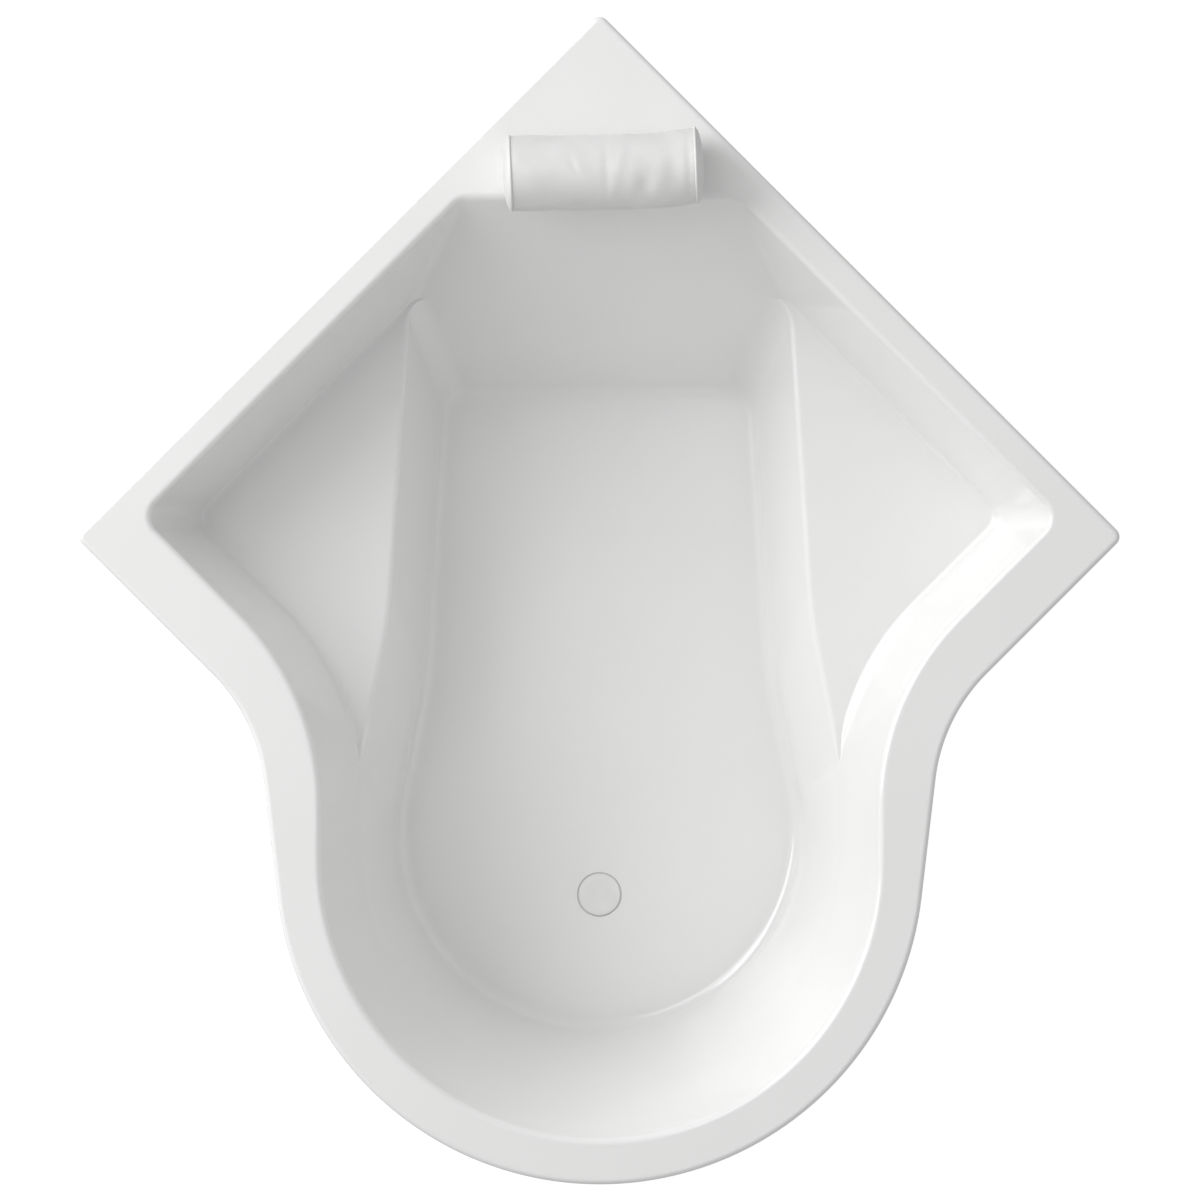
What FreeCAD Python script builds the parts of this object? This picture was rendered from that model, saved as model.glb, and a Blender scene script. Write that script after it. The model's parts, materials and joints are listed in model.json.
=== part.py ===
import FreeCAD, Part
import math
import os

import Sketcher
from FreeCAD import Placement, Rotation, Vector

# Corner bath for the right-angled corner of a room. X runs across the bath, +Y points to the
# corner of the room, +Z up. The origin lies on the floor, in the middle of the outer box.
# Places along the axis are distances from the sharp corner where the two wall sides meet.

os.makedirs("parts", exist_ok=True)
doc = FreeCAD.newDocument("CornerBath")

SIZES = [
    # outer outline of the rim
    ("wallSide", 1200, "wall side, from the sharp corner to the sharp wing tip"),
    ("cornerRadius", 16, "rounding of the three outer corners in plan"),
    ("neckAngle", 6.7, "angle between the rim's neck and the axis"),
    ("neckRadius", 290, "hollow rounding between the wing front and the neck"),
    ("bulbCentre", 1372, "centre of the round foot end, from the sharp corner"),
    ("bulbRadius", 525, "radius of the round foot end"),
    # heights and walls of the shell
    ("rimTop", 600, "height of the rim above the floor of the room"),
    ("wellDepth", 450, "depth of the well below the rim"),
    ("shelfDepth", 231, "depth of the two side shelves below the rim"),
    ("lipDrop", 45, "height of the turned down outer lip"),
    ("lipThick", 7, "thickness of the lip"),
    ("shellThick", 8, "thickness of deck, walls and floor"),
    ("rimRound", 8, "rounding along the outer top edge"),
    ("mouthRound", 11, "rounding where the rim turns down into the bath"),
    ("shelfRound", 14, "hollow rounding at the foot of the shelf walls"),
    ("floorRound", 22, "hollow rounding around the floor of the well"),
    # opening at rim level
    ("wallRim", 52, "width of the rim along the walls"),
    ("frontRim", 98, "width of the rim along the wing fronts"),
    ("ledgeFromCorner", 299, "front edge of the corner deck, from the sharp corner"),
    ("bulbRim", 72, "width of the rim around the foot end"),
    ("ledgeRadius", 32, "rounding at the ends of the deck edge"),
    ("wingRadius", 34, "rounding in the wing tips"),
    ("hollowRadius", 437, "hollow rounding between wing front and neck, inside"),
    ("wingSlope", 59, "how far the wing walls run inwards down to the shelf"),
    # well at shelf level and at its floor
    ("backRun", 314, "how far the back slopes forward over the well's depth"),
    ("shelfNeckHalf", 388, "half width of the neck and foot end at shelf level"),
    ("shelfBulbShift", 23, "foot end centre at shelf level, behind that at the rim"),
    ("wellBackHalf", 309, "half width of the well at its back at shelf level"),
    ("wellCorner", 34, "rounding of the well's back corners at shelf level"),
    ("sideAngle", 3.75, "angle between the well's long sides and the axis"),
    ("flareAngle", 11.5, "angle of the sides where the well widens to the foot end"),
    ("flareRadius", 800, "rounding between the long sides and the flare"),
    ("flareRun", 521, "where the flare begins at shelf level, from the back of the well"),
    ("floorBackHalf", 250, "half width of the floor at its back"),
    ("floorCorner", 42, "rounding of the floor's back corners"),
    ("floorBulbShift", 45, "foot end centre at the floor, behind that at the rim"),
    ("floorBulbRadius", 324, "radius of the foot end at the floor"),
    # waste
    ("drainFromCorner", 1433, "centre of the waste, from the sharp corner"),
    ("recessDiameter", 72, "round recess of the waste in the floor"),
    ("recessDepth", 4, "depth of that recess"),
    ("drainHole", 54, "hole for the waste through the floor"),
    ("wasteGap", 0.3, "gap around the loose pieces of the waste"),
    ("gasketThick", 1, "gasket between recess and waste flange"),
    ("flangeThick", 1.5, "rim of the waste flange"),
    ("throatRadius", 22, "throat of the waste"),
    ("neckWall", 4, "wall of the waste's threaded neck"),
    ("neckLength", 60, "length of that neck below the flange"),
    ("hubRadius", 8, "hub of the guide cross, and boss under the cover"),
    ("stemGap", 0.05, "gap between the stem and the hub"),
    ("spokeWide", 4, "width of the three spokes of the guide cross"),
    ("spokeBite", 1, "how far a spoke reaches into hub and throat"),
    ("guideDrop", 15, "top of the guide cross below the seat of the flange"),
    ("coverDiameter", 67.2, "waste cover"),
    ("coverLift", 1, "underside of the cover above the flange"),
    ("coverEdge", 1.2, "height of the cover's edge"),
    ("coverDome", 1.4, "rise of the cover from edge to middle"),
    ("stemRadius", 4, "stem that guides the cover"),
    ("stemLength", 50, "length of that stem"),
    ("guideHeight", 10, "height of the guide cross in the throat"),
    ("bossHeight", 10, "height of the boss under the cover"),
    ("coverBevel", 0.8, "width of the bevel around the cover"),
    ("coverStep", 0.5, "height of that bevel"),
    ("coverSealThick", 0.8, "seal ring under the cover"),
    ("coverSealInset", 1, "inner edge of that ring outside the throat"),
    ("coverSealWide", 2, "outer edge of that ring outside the neck"),
    ("gasketInset", 1, "edge of the gasket inside the edge of the flange"),
    ("sealThick", 3, "rubber ring under the floor"),
    ("lockNutHeight", 10, "nut that clamps the waste to the floor"),
    ("lockNutRadius", 40, "the same, across its corners, halved"),
    ("unionTop", 26, "top of the trap's union nut below the shell"),
    ("unionHeight", 19, "height of the union nut"),
    ("unionShoulder", 7.6, "height of the shoulder inside that nut"),
    ("socketWall", 5, "wall of the trap's socket around the threaded neck"),
    ("unionWall", 5, "wall of the union nut around that socket"),
    ("trapTop", 46, "top plate of the trap below the shell"),
    ("trapRadius", 42, "cup of the trap"),
    ("trapWall", 3, "wall of the trap"),
    ("trapBottom", 24, "lower end of the cup above the floor of the room"),
    ("capHeight", 16, "skirt of the cleaning cap"),
    ("capFloor", 6, "floor of the cleaning cap"),
    ("outletRadius", 20, "outlet pipe of the trap"),
    ("outletHeight", 66, "axis of the outlet above the floor of the room"),
    ("outletReach", 170, "end of the outlet from the waste's axis"),
    ("outletFree", 60, "free end of the outlet, that a waste pipe slides onto"),
    ("outletCollar", 3, "step of the collar behind that end"),
    ("outletBite", 8, "how far the outlet's pipe reaches into the cup"),
    # base board and frame
    ("boardThick", 18, "board under the floor of the well"),
    ("boardInset", 20, "edge of the board inside the edge of the floor"),
    ("boardHole", 120, "hole of the board around the waste"),
    ("railSize", 30, "square tube of the frame"),
    ("railWall", 2, "wall of that tube"),
    ("railHalfGap", 180, "long rails, from the axis"),
    ("railBack", 640, "back ends of the long rails, from the corner"),
    ("railLength", 1000, "length of the long rails"),
    ("crossBack", 50, "back cross rail, from the back ends of the long rails"),
    ("crossBackHalf", 205, "half length of the back cross rail"),
    ("crossWings", 192, "cross rail under the shelves, from the same ends"),
    ("crossWingsHalf", 620, "half length of that rail"),
    ("crossFront", 28, "front cross rail, from the front ends of the long rails"),
    ("crossFrontHalf", 260, "half length of the front cross rail"),
    ("spineEnd", 140, "end of the middle rail, from the corner"),
    ("cornerPost", 160, "post under the deck, from the corner"),
    ("wingPost", 520, "posts under the shelves, from the axis"),
    ("postPad", 5, "rubber pads on the posts"),
    ("postPadWide", 40, "width of these pads"),
    ("screwRadius", 2.5, "shank of the wood screws"),
    ("screwHead", 5, "head radius of the wood screws"),
    ("screwHeadHigh", 3, "head height of the wood screws"),
    ("screwBite", 12, "how far a wood screw reaches into the wood"),
    ("screwGap", 0.2, "gap around the shanks"),
    ("toolOver", 1, "how far a drill or cutter starts outside what it cuts"),
    ("screwPlaceBack", 112, "first pair of board screws, from the back ends of the rails"),
    ("screwPitch", 330, "distance between the pairs of board screws"),
    # levelling feet
    ("studRadius", 6, "threaded stud of a foot"),
    ("studTop", 118, "top of the stud above the floor of the room"),
    ("threadGap", 0.3, "gap between stud and nut, and stud and rail"),
    ("padRadius", 25, "foot pad"),
    ("padEdge", 6, "height of the pad's edge"),
    ("padHeight", 16, "height of the pad's socket"),
    ("padSocket", 12, "radius of the pad's socket"),
    ("padFloor", 4, "floor of the socket"),
    ("padSlope", 3, "width of the slope around the pad"),
    ("padRise", 1, "rise of the pad from that slope to its socket"),
    ("padGap", 0.1, "gap between the stud and its socket"),
    ("nutRadius", 11, "lock nut across its corners, halved"),
    ("nutHeight", 8, "height of a lock nut"),
    ("footCorner", 215, "foot under the deck, from the corner"),
    ("footWings", 590, "feet under the shelves, from the axis"),
    ("footFront", 235, "front feet, from the axis"),
    # battens, wall brackets and catches
    ("battenHigh", 20, "height of the battens under the rim"),
    ("battenGap", 2, "gap between lip and wall batten"),
    ("battenWide", 28, "width of the wall battens"),
    ("battenLong", 760, "length of the wall battens"),
    ("battenStart", 230, "upper end of a wall batten, along the wall from the corner"),
    ("bracketWide", 40, "width of a wall bracket"),
    ("bracketThick", 3, "sheet of the brackets"),
    ("bracketInset", 60, "brackets from the ends of the wall battens"),
    ("bracketStep", 7, "gap between the lip and the bracket's step"),
    ("bracketDrop", 48, "height of the bracket's wall flange"),
    ("bracketHole", 7, "fixing hole in the wall flange"),
    ("bracketHoleDrop", 28.8, "that hole below the bracket's step"),
    ("frontBattenStart", 60, "front battens, along the front from the wing tip"),
    ("frontBattenLong", 215, "length of the front battens"),
    ("frontBattenInset", 52, "outer edge of the front battens from the front"),
    ("frontBattenWide", 28, "width of the front battens"),
    ("endBattenInset", 45, "batten at the foot end, from the outer edge"),
    ("endBattenWide", 16, "width of that batten"),
    ("endBattenLong", 160, "length of that batten"),
    ("catchWide", 40, "width of a magnet catch"),
    ("catchInset", 14, "catches from the ends of the front battens"),
    ("catchPlate", 2, "sheet of the catch plate"),
    ("catchGap", 0.3, "gap between magnet and plate"),
    ("magnetThick", 6, "thickness of a magnet"),
    ("magnetHigh", 14, "height of a magnet"),
    ("magnetSeat", 0.5, "gap between the round flange and the flat magnet on it"),
    # apron panel
    ("apronInset", 10, "face of the apron inside the edge of the rim"),
    ("apronThick", 5, "sheet of the apron"),
    ("apronFlange", 25, "width of the flanges along its edges"),
    ("apronGap", 3, "gap above, below and beside the apron"),
    ("apronRound", 4, "rounding along its upper edge"),
    # bolster
    ("pillowFromCorner", 255, "axis of the bolster, from the sharp corner"),
    ("pillowAside", 6, "middle of the bolster beside the axis of the bath"),
    ("pillowTilt", 2.4, "turn of the bolster in plan"),
    ("pillowHalf", 150, "half length between the two seams"),
    ("pillowSeam", 59, "radius of the cover at the seams"),
    ("pillowWaist", 58, "radius of the cover in the middle"),
    ("pillowSwell", 2.6, "swelling between middle and seam"),
    ("pillowSkin", 4, "padded cover, from outside to the core"),
    ("pillowSkinGap", 0.3, "gap between cover and core"),
    ("pipingRadius", 2.4, "piping along the seams"),
    ("pipingSeat", 2.5, "half of the seam gap that holds the piping"),
    ("pipingSink", 0.3, "middle of the piping inside the radius of the seams"),
    ("capRadius", 57, "round end of the bolster"),
    ("capBulge", 10.5, "bulge of that end"),
    ("pillowLift", 60, "axis of the bolster above the deck"),
    ("pillowGap", 0.3, "gap between bolster and deck"),
]

sheet = doc.addObject("Spreadsheet::Sheet", "Sizes")
for row, (alias, value, meaning) in enumerate(SIZES, start=1):
    sheet.set(f"A{row}", meaning)
    sheet.set(f"B{row}", str(value))
    sheet.setAlias(f"B{row}", alias)
doc.recompute()

SIZE = {alias: float(sheet.get(alias)) for alias, value, meaning in SIZES}
PIECES = []
DIAGONAL = math.sqrt(2)
CORNER_Y = (
    SIZE["bulbCentre"] + SIZE["bulbRadius"] + SIZE["cornerRadius"] * (DIAGONAL - 1)
) / 2

CORNER = "(Sizes.bulbCentre + Sizes.bulbRadius + Sizes.cornerRadius * (sqrt(2) - 1)) / 2"
TIP = "Sizes.wallSide / sqrt(2)"
SHELF_LEVEL = "Sizes.rimTop - Sizes.shelfDepth"
FLOOR_LEVEL = "Sizes.rimTop - Sizes.wellDepth"
DECK_BOTTOM = "Sizes.rimTop - Sizes.shellThick"
SHELL_BOTTOM = f"{FLOOR_LEVEL} - Sizes.shellThick"
BOARD_BOTTOM = f"{SHELL_BOTTOM} - Sizes.boardThick"
RAIL_BOTTOM = f"{BOARD_BOTTOM} - Sizes.railSize"
CROSS_BOTTOM = f"{RAIL_BOTTOM} - Sizes.railSize"
LIP_BOTTOM = "Sizes.rimTop - Sizes.lipDrop"


# ---------------------------------------------------------------- outlines of the shell


def heading(angle):
    """Unit vector at so many degrees from +X."""
    return Vector(math.cos(math.radians(angle)), math.sin(math.radians(angle)), 0)


def crossing(point_a, heading_a, point_b, heading_b):
    """Where two straight lines meet in plan."""
    gap = point_b - point_a
    turn = heading_a.x * heading_b.y - heading_a.y * heading_b.x
    return point_a + heading_a * ((gap.x * heading_b.y - gap.y * heading_b.x) / turn)


def rounded(before, corner, after, radius):
    """Start, middle and end of the arc that rounds a corner of a chain of lines."""
    back = (before - corner).normalize()
    ahead = (after - corner).normalize()
    half = back.getAngle(ahead) / 2
    reach = radius / math.tan(half)
    centre = corner + (back + ahead).normalize() * (radius / math.sin(half))
    middle = centre + (corner - centre).normalize() * radius
    return corner + back * reach, middle, corner + ahead * reach


def mirrored(chain):
    """The same chain of arcs and lines on the -X side, in the running order of the outline."""
    return [[Vector(-p.x, p.y, 0) for p in reversed(piece)] for piece in reversed(chain)]


def closed_outline(right, bulb):
    """Whole outline: right side, arc of the foot end, left side, line across the back."""
    left = mirrored(right)
    return right + [bulb] + left + [[left[-1][-1], right[0][0]]]


def joined(arcs):
    """Arcs in order, with straight lines laid between those that don't touch."""
    chain = []
    for arc in arcs:
        if chain and (chain[-1][-1] - arc[0]).Length > 1e-6:
            chain.append([chain[-1][-1], arc[0]])
        chain.append(arc)
    return chain


def sketch_of(name, chain, level="0"):
    """A sketch that holds a chain of lines (two points) and arcs (three points)."""
    sketch = doc.addObject("Sketcher::SketchObject", name)
    for piece in chain:
        if len(piece) == 2:
            sketch.addGeometry(Part.LineSegment(*piece))
        else:
            sketch.addGeometry(Part.Arc(*piece))
    sketch.setExpression("Placement.Base.z", level)
    return sketch


def between(low, high, share):
    """A size that changes evenly from one value to another."""
    return SIZE[low] + share * (SIZE[high] - SIZE[low])


def rim_chain(inset):
    """Outer outline of the rim, moved inwards by inset."""
    corner = Vector(0, CORNER_Y - inset * DIAGONAL, 0)
    tip_x = SIZE["wallSide"] / DIAGONAL
    tip = Vector(tip_x - inset * DIAGONAL, CORNER_Y - tip_x, 0)
    centre = Vector(0, CORNER_Y - SIZE["bulbCentre"], 0)
    neck = heading(-90 - SIZE["neckAngle"])
    touch = centre + heading(-SIZE["neckAngle"]) * (SIZE["bulbRadius"] - inset)
    turn = crossing(tip, heading(-135), touch, neck)
    small = max(SIZE["cornerRadius"] - inset, 1)
    end = centre - Vector(0, SIZE["bulbRadius"] - inset, 0)
    arcs = [
        rounded(corner, tip, turn, small),
        rounded(tip, turn, touch, SIZE["neckRadius"] + inset),
    ]
    right = joined(arcs)
    right.append([right[-1][-1], touch])
    bulb = [touch, end, Vector(-touch.x, touch.y, 0)]
    top = rounded(Vector(-tip.x, tip.y, 0), corner, tip, small)
    left = mirrored(right)
    chain = right + [bulb] + left
    return [list(top), [top[2], chain[0][0]]] + chain + [[chain[-1][-1], top[0]]]


def mouth_chain(share, grow):
    """Outline of the bath's mouth at the rim (share 0) or of its walls at the shelf (share 1)."""
    wall_rim = SIZE["wallRim"] + share * SIZE["wingSlope"] - grow
    front_rim = SIZE["frontRim"] + share * SIZE["wingSlope"] - grow
    rim_half = SIZE["bulbRadius"] - SIZE["bulbRim"]
    half = (1 - share) * rim_half + share * SIZE["shelfNeckHalf"] + grow
    back = CORNER_Y - SIZE["ledgeFromCorner"] + grow
    back -= share * SIZE["backRun"] * SIZE["shelfDepth"] / SIZE["wellDepth"]
    tip_x = SIZE["wallSide"] / DIAGONAL
    wall_sum = CORNER_Y - wall_rim * DIAGONAL
    front_sum = 2 * tip_x - CORNER_Y - front_rim * DIAGONAL
    ledge_end = Vector(wall_sum - back, back, 0)
    wing_tip = Vector((wall_sum + front_sum) / 2, (wall_sum - front_sum) / 2, 0)
    turn = Vector(half, half - front_sum, 0)
    bulb_y = CORNER_Y - SIZE["bulbCentre"] + share * SIZE["shelfBulbShift"]
    waist = Vector(half, bulb_y, 0)
    arcs = [
        rounded(Vector(0, back, 0), ledge_end, wing_tip, SIZE["ledgeRadius"] + grow),
        rounded(ledge_end, wing_tip, turn, SIZE["wingRadius"] + grow),
        rounded(wing_tip, turn, waist, SIZE["hollowRadius"] - grow),
    ]
    right = joined([list(arc) for arc in arcs])
    right.append([right[-1][-1], waist])
    bulb = [waist, Vector(0, bulb_y - half, 0), Vector(-half, bulb_y, 0)]
    return closed_outline(right, bulb)


def well_chain(grow):
    """Outline of the well at shelf level. Its foot end is that of the mouth's walls there."""
    walls = mouth_chain(1, grow)
    hollow, neck, bulb = walls[4], walls[5], walls[6]
    back = walls[-1][0].y
    side = heading(-90 + SIZE["sideAngle"])
    flare = heading(-90 + SIZE["flareAngle"])
    corner = Vector(SIZE["wellBackHalf"] + grow, back, 0)
    middle_y = back - grow - SIZE["flareRun"]
    turn = crossing(corner, side, Vector(0, middle_y, 0), Vector(1, 0, 0))
    centre = Part.Arc(*hollow).toShape().Curve.Center
    offset = turn + flare * (centre - turn).dot(flare)
    drop = (centre - offset).Length
    tip = offset + flare * -math.sqrt((SIZE["hollowRadius"] - grow) ** 2 - drop**2)
    first = rounded(Vector(0, back, 0), corner, turn, SIZE["wellCorner"] + grow)
    blend = rounded(corner, turn, tip, SIZE["flareRadius"] - grow)
    inward = (tip - centre).normalize() + (hollow[2] - centre).normalize()
    middle = centre + inward.normalize() * (SIZE["hollowRadius"] - grow)
    right = joined([list(first), list(blend)])
    right.append([right[-1][-1], tip])
    right.append([tip, middle, hollow[2]])
    right.append(neck)
    return closed_outline(right, bulb)


def floor_chain(grow, rise=0):
    """Outline of the well so far above its floor, in as many pieces as at shelf level."""
    share = rise / (SIZE["wellDepth"] - SIZE["shelfDepth"])
    back = CORNER_Y - SIZE["ledgeFromCorner"] - SIZE["backRun"] + grow
    back += rise * SIZE["backRun"] / SIZE["wellDepth"]
    shift = between("floorBulbShift", "shelfBulbShift", share)
    centre = Vector(0, CORNER_Y - SIZE["bulbCentre"] + shift, 0)
    radius = between("floorBulbRadius", "shelfNeckHalf", share) + grow
    side = heading(-90 + SIZE["sideAngle"])
    flare = heading(-90 + SIZE["flareAngle"])
    touch = centre + heading(SIZE["flareAngle"]) * radius
    corner = Vector(between("floorBackHalf", "wellBackHalf", share) + grow, back, 0)
    turn = crossing(corner, side, touch, flare)
    steps = [heading(SIZE["flareAngle"] * k / 4) * radius + centre for k in range(5)]
    first = rounded(Vector(0, back, 0), corner, turn, SIZE["floorCorner"] + grow)
    blend = rounded(corner, turn, touch, SIZE["flareRadius"] - grow)
    right = joined([list(first), list(blend)])
    right.append([right[-1][-1], touch])
    right.append([steps[4], steps[3], steps[2]])
    right.append([steps[2], steps[1], steps[0]])
    bulb = [steps[0], centre - Vector(0, radius, 0), centre - Vector(radius, 0, 0)]
    return closed_outline(right, bulb)


def sheet_body(name, plane, draw):
    """A body with one sketch on one of its own origin planes."""
    body = doc.addObject("PartDesign::Body", name)
    sketch = body.newObject("Sketcher::SketchObject", name + "Profile")
    planes = [item for item in body.Origin.OriginFeatures if item.Role == plane]
    sketch.AttachmentSupport = [(planes[0], "")]
    sketch.MapMode = "FlatFace"
    draw(sketch)
    return body, sketch


def polygon(sketch, corners):
    """A closed polygon whose corners are given as pairs of expressions."""
    first = sketch.GeometryCount
    count = len(corners)
    ring = [heading(360 * k / count) * 10 for k in range(count)]
    for k in range(count):
        sketch.addGeometry(Part.LineSegment(ring[k], ring[(k + 1) % count]))
    for k, (x, y) in enumerate(corners):
        line, after = first + k, first + (k + 1) % count
        sketch.addConstraint(Sketcher.Constraint("Coincident", line, 2, after, 1))
        for kind, value in (("DistanceX", x), ("DistanceY", y)):
            number = sketch.addConstraint(Sketcher.Constraint(kind, -1, 1, line, 1, 10))
            sketch.setExpression(f"Constraints[{number}]", value)


def place(piece, x="0", y="0", z="0", turn=None):
    """Put a piece at expressions of the sheet, turned as asked."""
    if turn is not None:
        piece.Placement = Placement(Vector(0, 0, 0), turn)
    for axis, value in (("x", x), ("y", y), ("z", z)):
        piece.setExpression(f"Placement.Base.{axis}", value)
    return piece


def padded(name, draw, length, plane="XY_Plane"):
    """A body made by padding one profile."""
    body, sketch = sheet_body(name, plane, draw)
    pad = body.newObject("PartDesign::Pad", name + "Pad")
    pad.Profile = sketch
    pad.setExpression("Length", length)
    return body


def turned(name, corners):
    """A body turned about its own Z axis from a polygon of radius and height."""
    body, sketch = sheet_body(name, "XZ_Plane", lambda s: polygon(s, corners))
    feature = body.newObject("PartDesign::Revolution", name + "Turn")
    feature.Profile = sketch
    feature.ReferenceAxis = (sketch, ["V_Axis"])
    feature.Angle = 360
    return body


def box(name, length, width, height):
    solid = doc.addObject("Part::Box", name)
    for side, value in (("Length", length), ("Width", width), ("Height", height)):
        solid.setExpression(side, value)
    return solid


def cylinder(name, radius, height):
    solid = doc.addObject("Part::Cylinder", name)
    solid.setExpression("Radius", radius)
    solid.setExpression("Height", height)
    return solid


def piece(name, solid):
    """Name a finished piece and keep it for the end."""
    solid.Label = name
    PIECES.append(solid)
    return solid


def from_corner(distance):
    """Expression for the place on the axis at a distance from the sharp corner."""
    return f"{CORNER} - {distance}"


def group(name, solids):
    """Several loose solids that count as one piece."""
    bundle = doc.addObject("Part::Compound", name)
    bundle.Links = solids
    return bundle


def hexagon(sketch, radius):
    """A regular hexagon around the sketch's origin, with its radius to the corners."""
    corners = [heading(60 * k) for k in range(6)]
    polygon(sketch, [(f"{c.x:.6f} * {radius}", f"{c.y:.6f} * {radius}") for c in corners])


def edge_of(part, level):
    """The edge of a chain's line or arc at one height."""
    points = [Vector(p.x, p.y, level) for p in part]
    curve = Part.LineSegment(*points) if len(points) == 2 else Part.Arc(*points)
    return curve.toShape()


def lies_on(edge, outline):
    """Whether an edge runs along an outline."""
    middle = edge.valueAt((edge.FirstParameter + edge.LastParameter) / 2)
    places = [middle] + [vertex.Point for vertex in edge.Vertexes]
    return all(Part.Vertex(p).distToShape(outline)[0] < 0.01 for p in places)


def front_run(inset):
    """The open sides of the outline only, from wing tip to wing tip."""
    run = rim_chain(inset)[3:10]
    wall = Vector(0, CORNER_Y - SIZE["apronGap"] * DIAGONAL, 0)
    start = crossing(run[0][1], heading(45), wall, heading(-45))
    run[0] = [start, run[0][1]]
    run[-1] = [run[-1][0], Vector(-start.x, start.y, 0)]
    return run


def band(outer, inner):
    """Closed outline of the strip between two insets along the open sides."""
    ahead = front_run(outer)
    back = [list(reversed(part)) for part in reversed(front_run(inner))]
    return ahead + [[ahead[-1][-1], back[0][0]]] + back + [[back[-1][-1], ahead[0][0]]]


def ruled(name, *outlines):
    """A solid with straight walls from each outline to the next."""
    loft = doc.addObject("Part::Loft", name)
    loft.Sections = list(outlines)
    loft.Solid = True
    loft.Ruled = True
    return loft


def upright(name, sketch, bottom, height):
    """A sketch raised into a straight solid."""
    solid = doc.addObject("Part::Extrusion", name)
    solid.Base = sketch
    solid.DirMode = "Custom"
    solid.Dir = Vector(0, 0, 1)
    solid.Solid = True
    solid.setExpression("LengthFwd", height)
    sketch.setExpression("Placement.Base.z", bottom)
    return solid


def edges_at(solid, level, wanted=None):
    """Numbers of the edges that lie at one height, as a fillet wants them."""
    found = []
    for number, edge in enumerate(solid.Shape.Edges, start=1):
        box = edge.BoundBox
        flat = abs(box.ZMin - level) < 0.01 and abs(box.ZMax - level) < 0.01
        if flat and (wanted is None or wanted(edge)):
            found.append(number)
    return found


def fillet(name, base, numbers, size):
    """Rounded edges of a solid."""
    rounding = doc.addObject("Part::Fillet", name)
    rounding.Base = base
    rounding.Edges = [(number, SIZE[size], SIZE[size]) for number in numbers]
    return rounding


def combined(kind, name, *solids):
    """Part::Cut of two solids, or Part::MultiFuse or Part::MultiCommon of several."""
    result = doc.addObject(kind, name)
    if kind == "Part::Cut":
        result.Base, result.Tool = solids
    else:
        result.Shapes = list(solids)
    return result


def column_chain():
    """Outline around the well that follows its back corners and sides only."""
    well = well_chain(0)
    sides = well[:4]
    reach = SIZE["shelfNeckHalf"] / 4
    begin = sides[0][0]
    flare = heading(-90 + SIZE["flareAngle"])
    past = sides[-1][-1] + flare * reach
    low = Vector(past.x, -CORNER_Y, 0)
    right = [[begin + Vector(0, reach, 0), begin]] + sides[:3]
    right.append([sides[3][0], past])
    right.append([past, low])
    left = mirrored(right)
    return right + [[low, left[0][0]]] + left + [[left[-1][-1], right[0][0]]]


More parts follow.
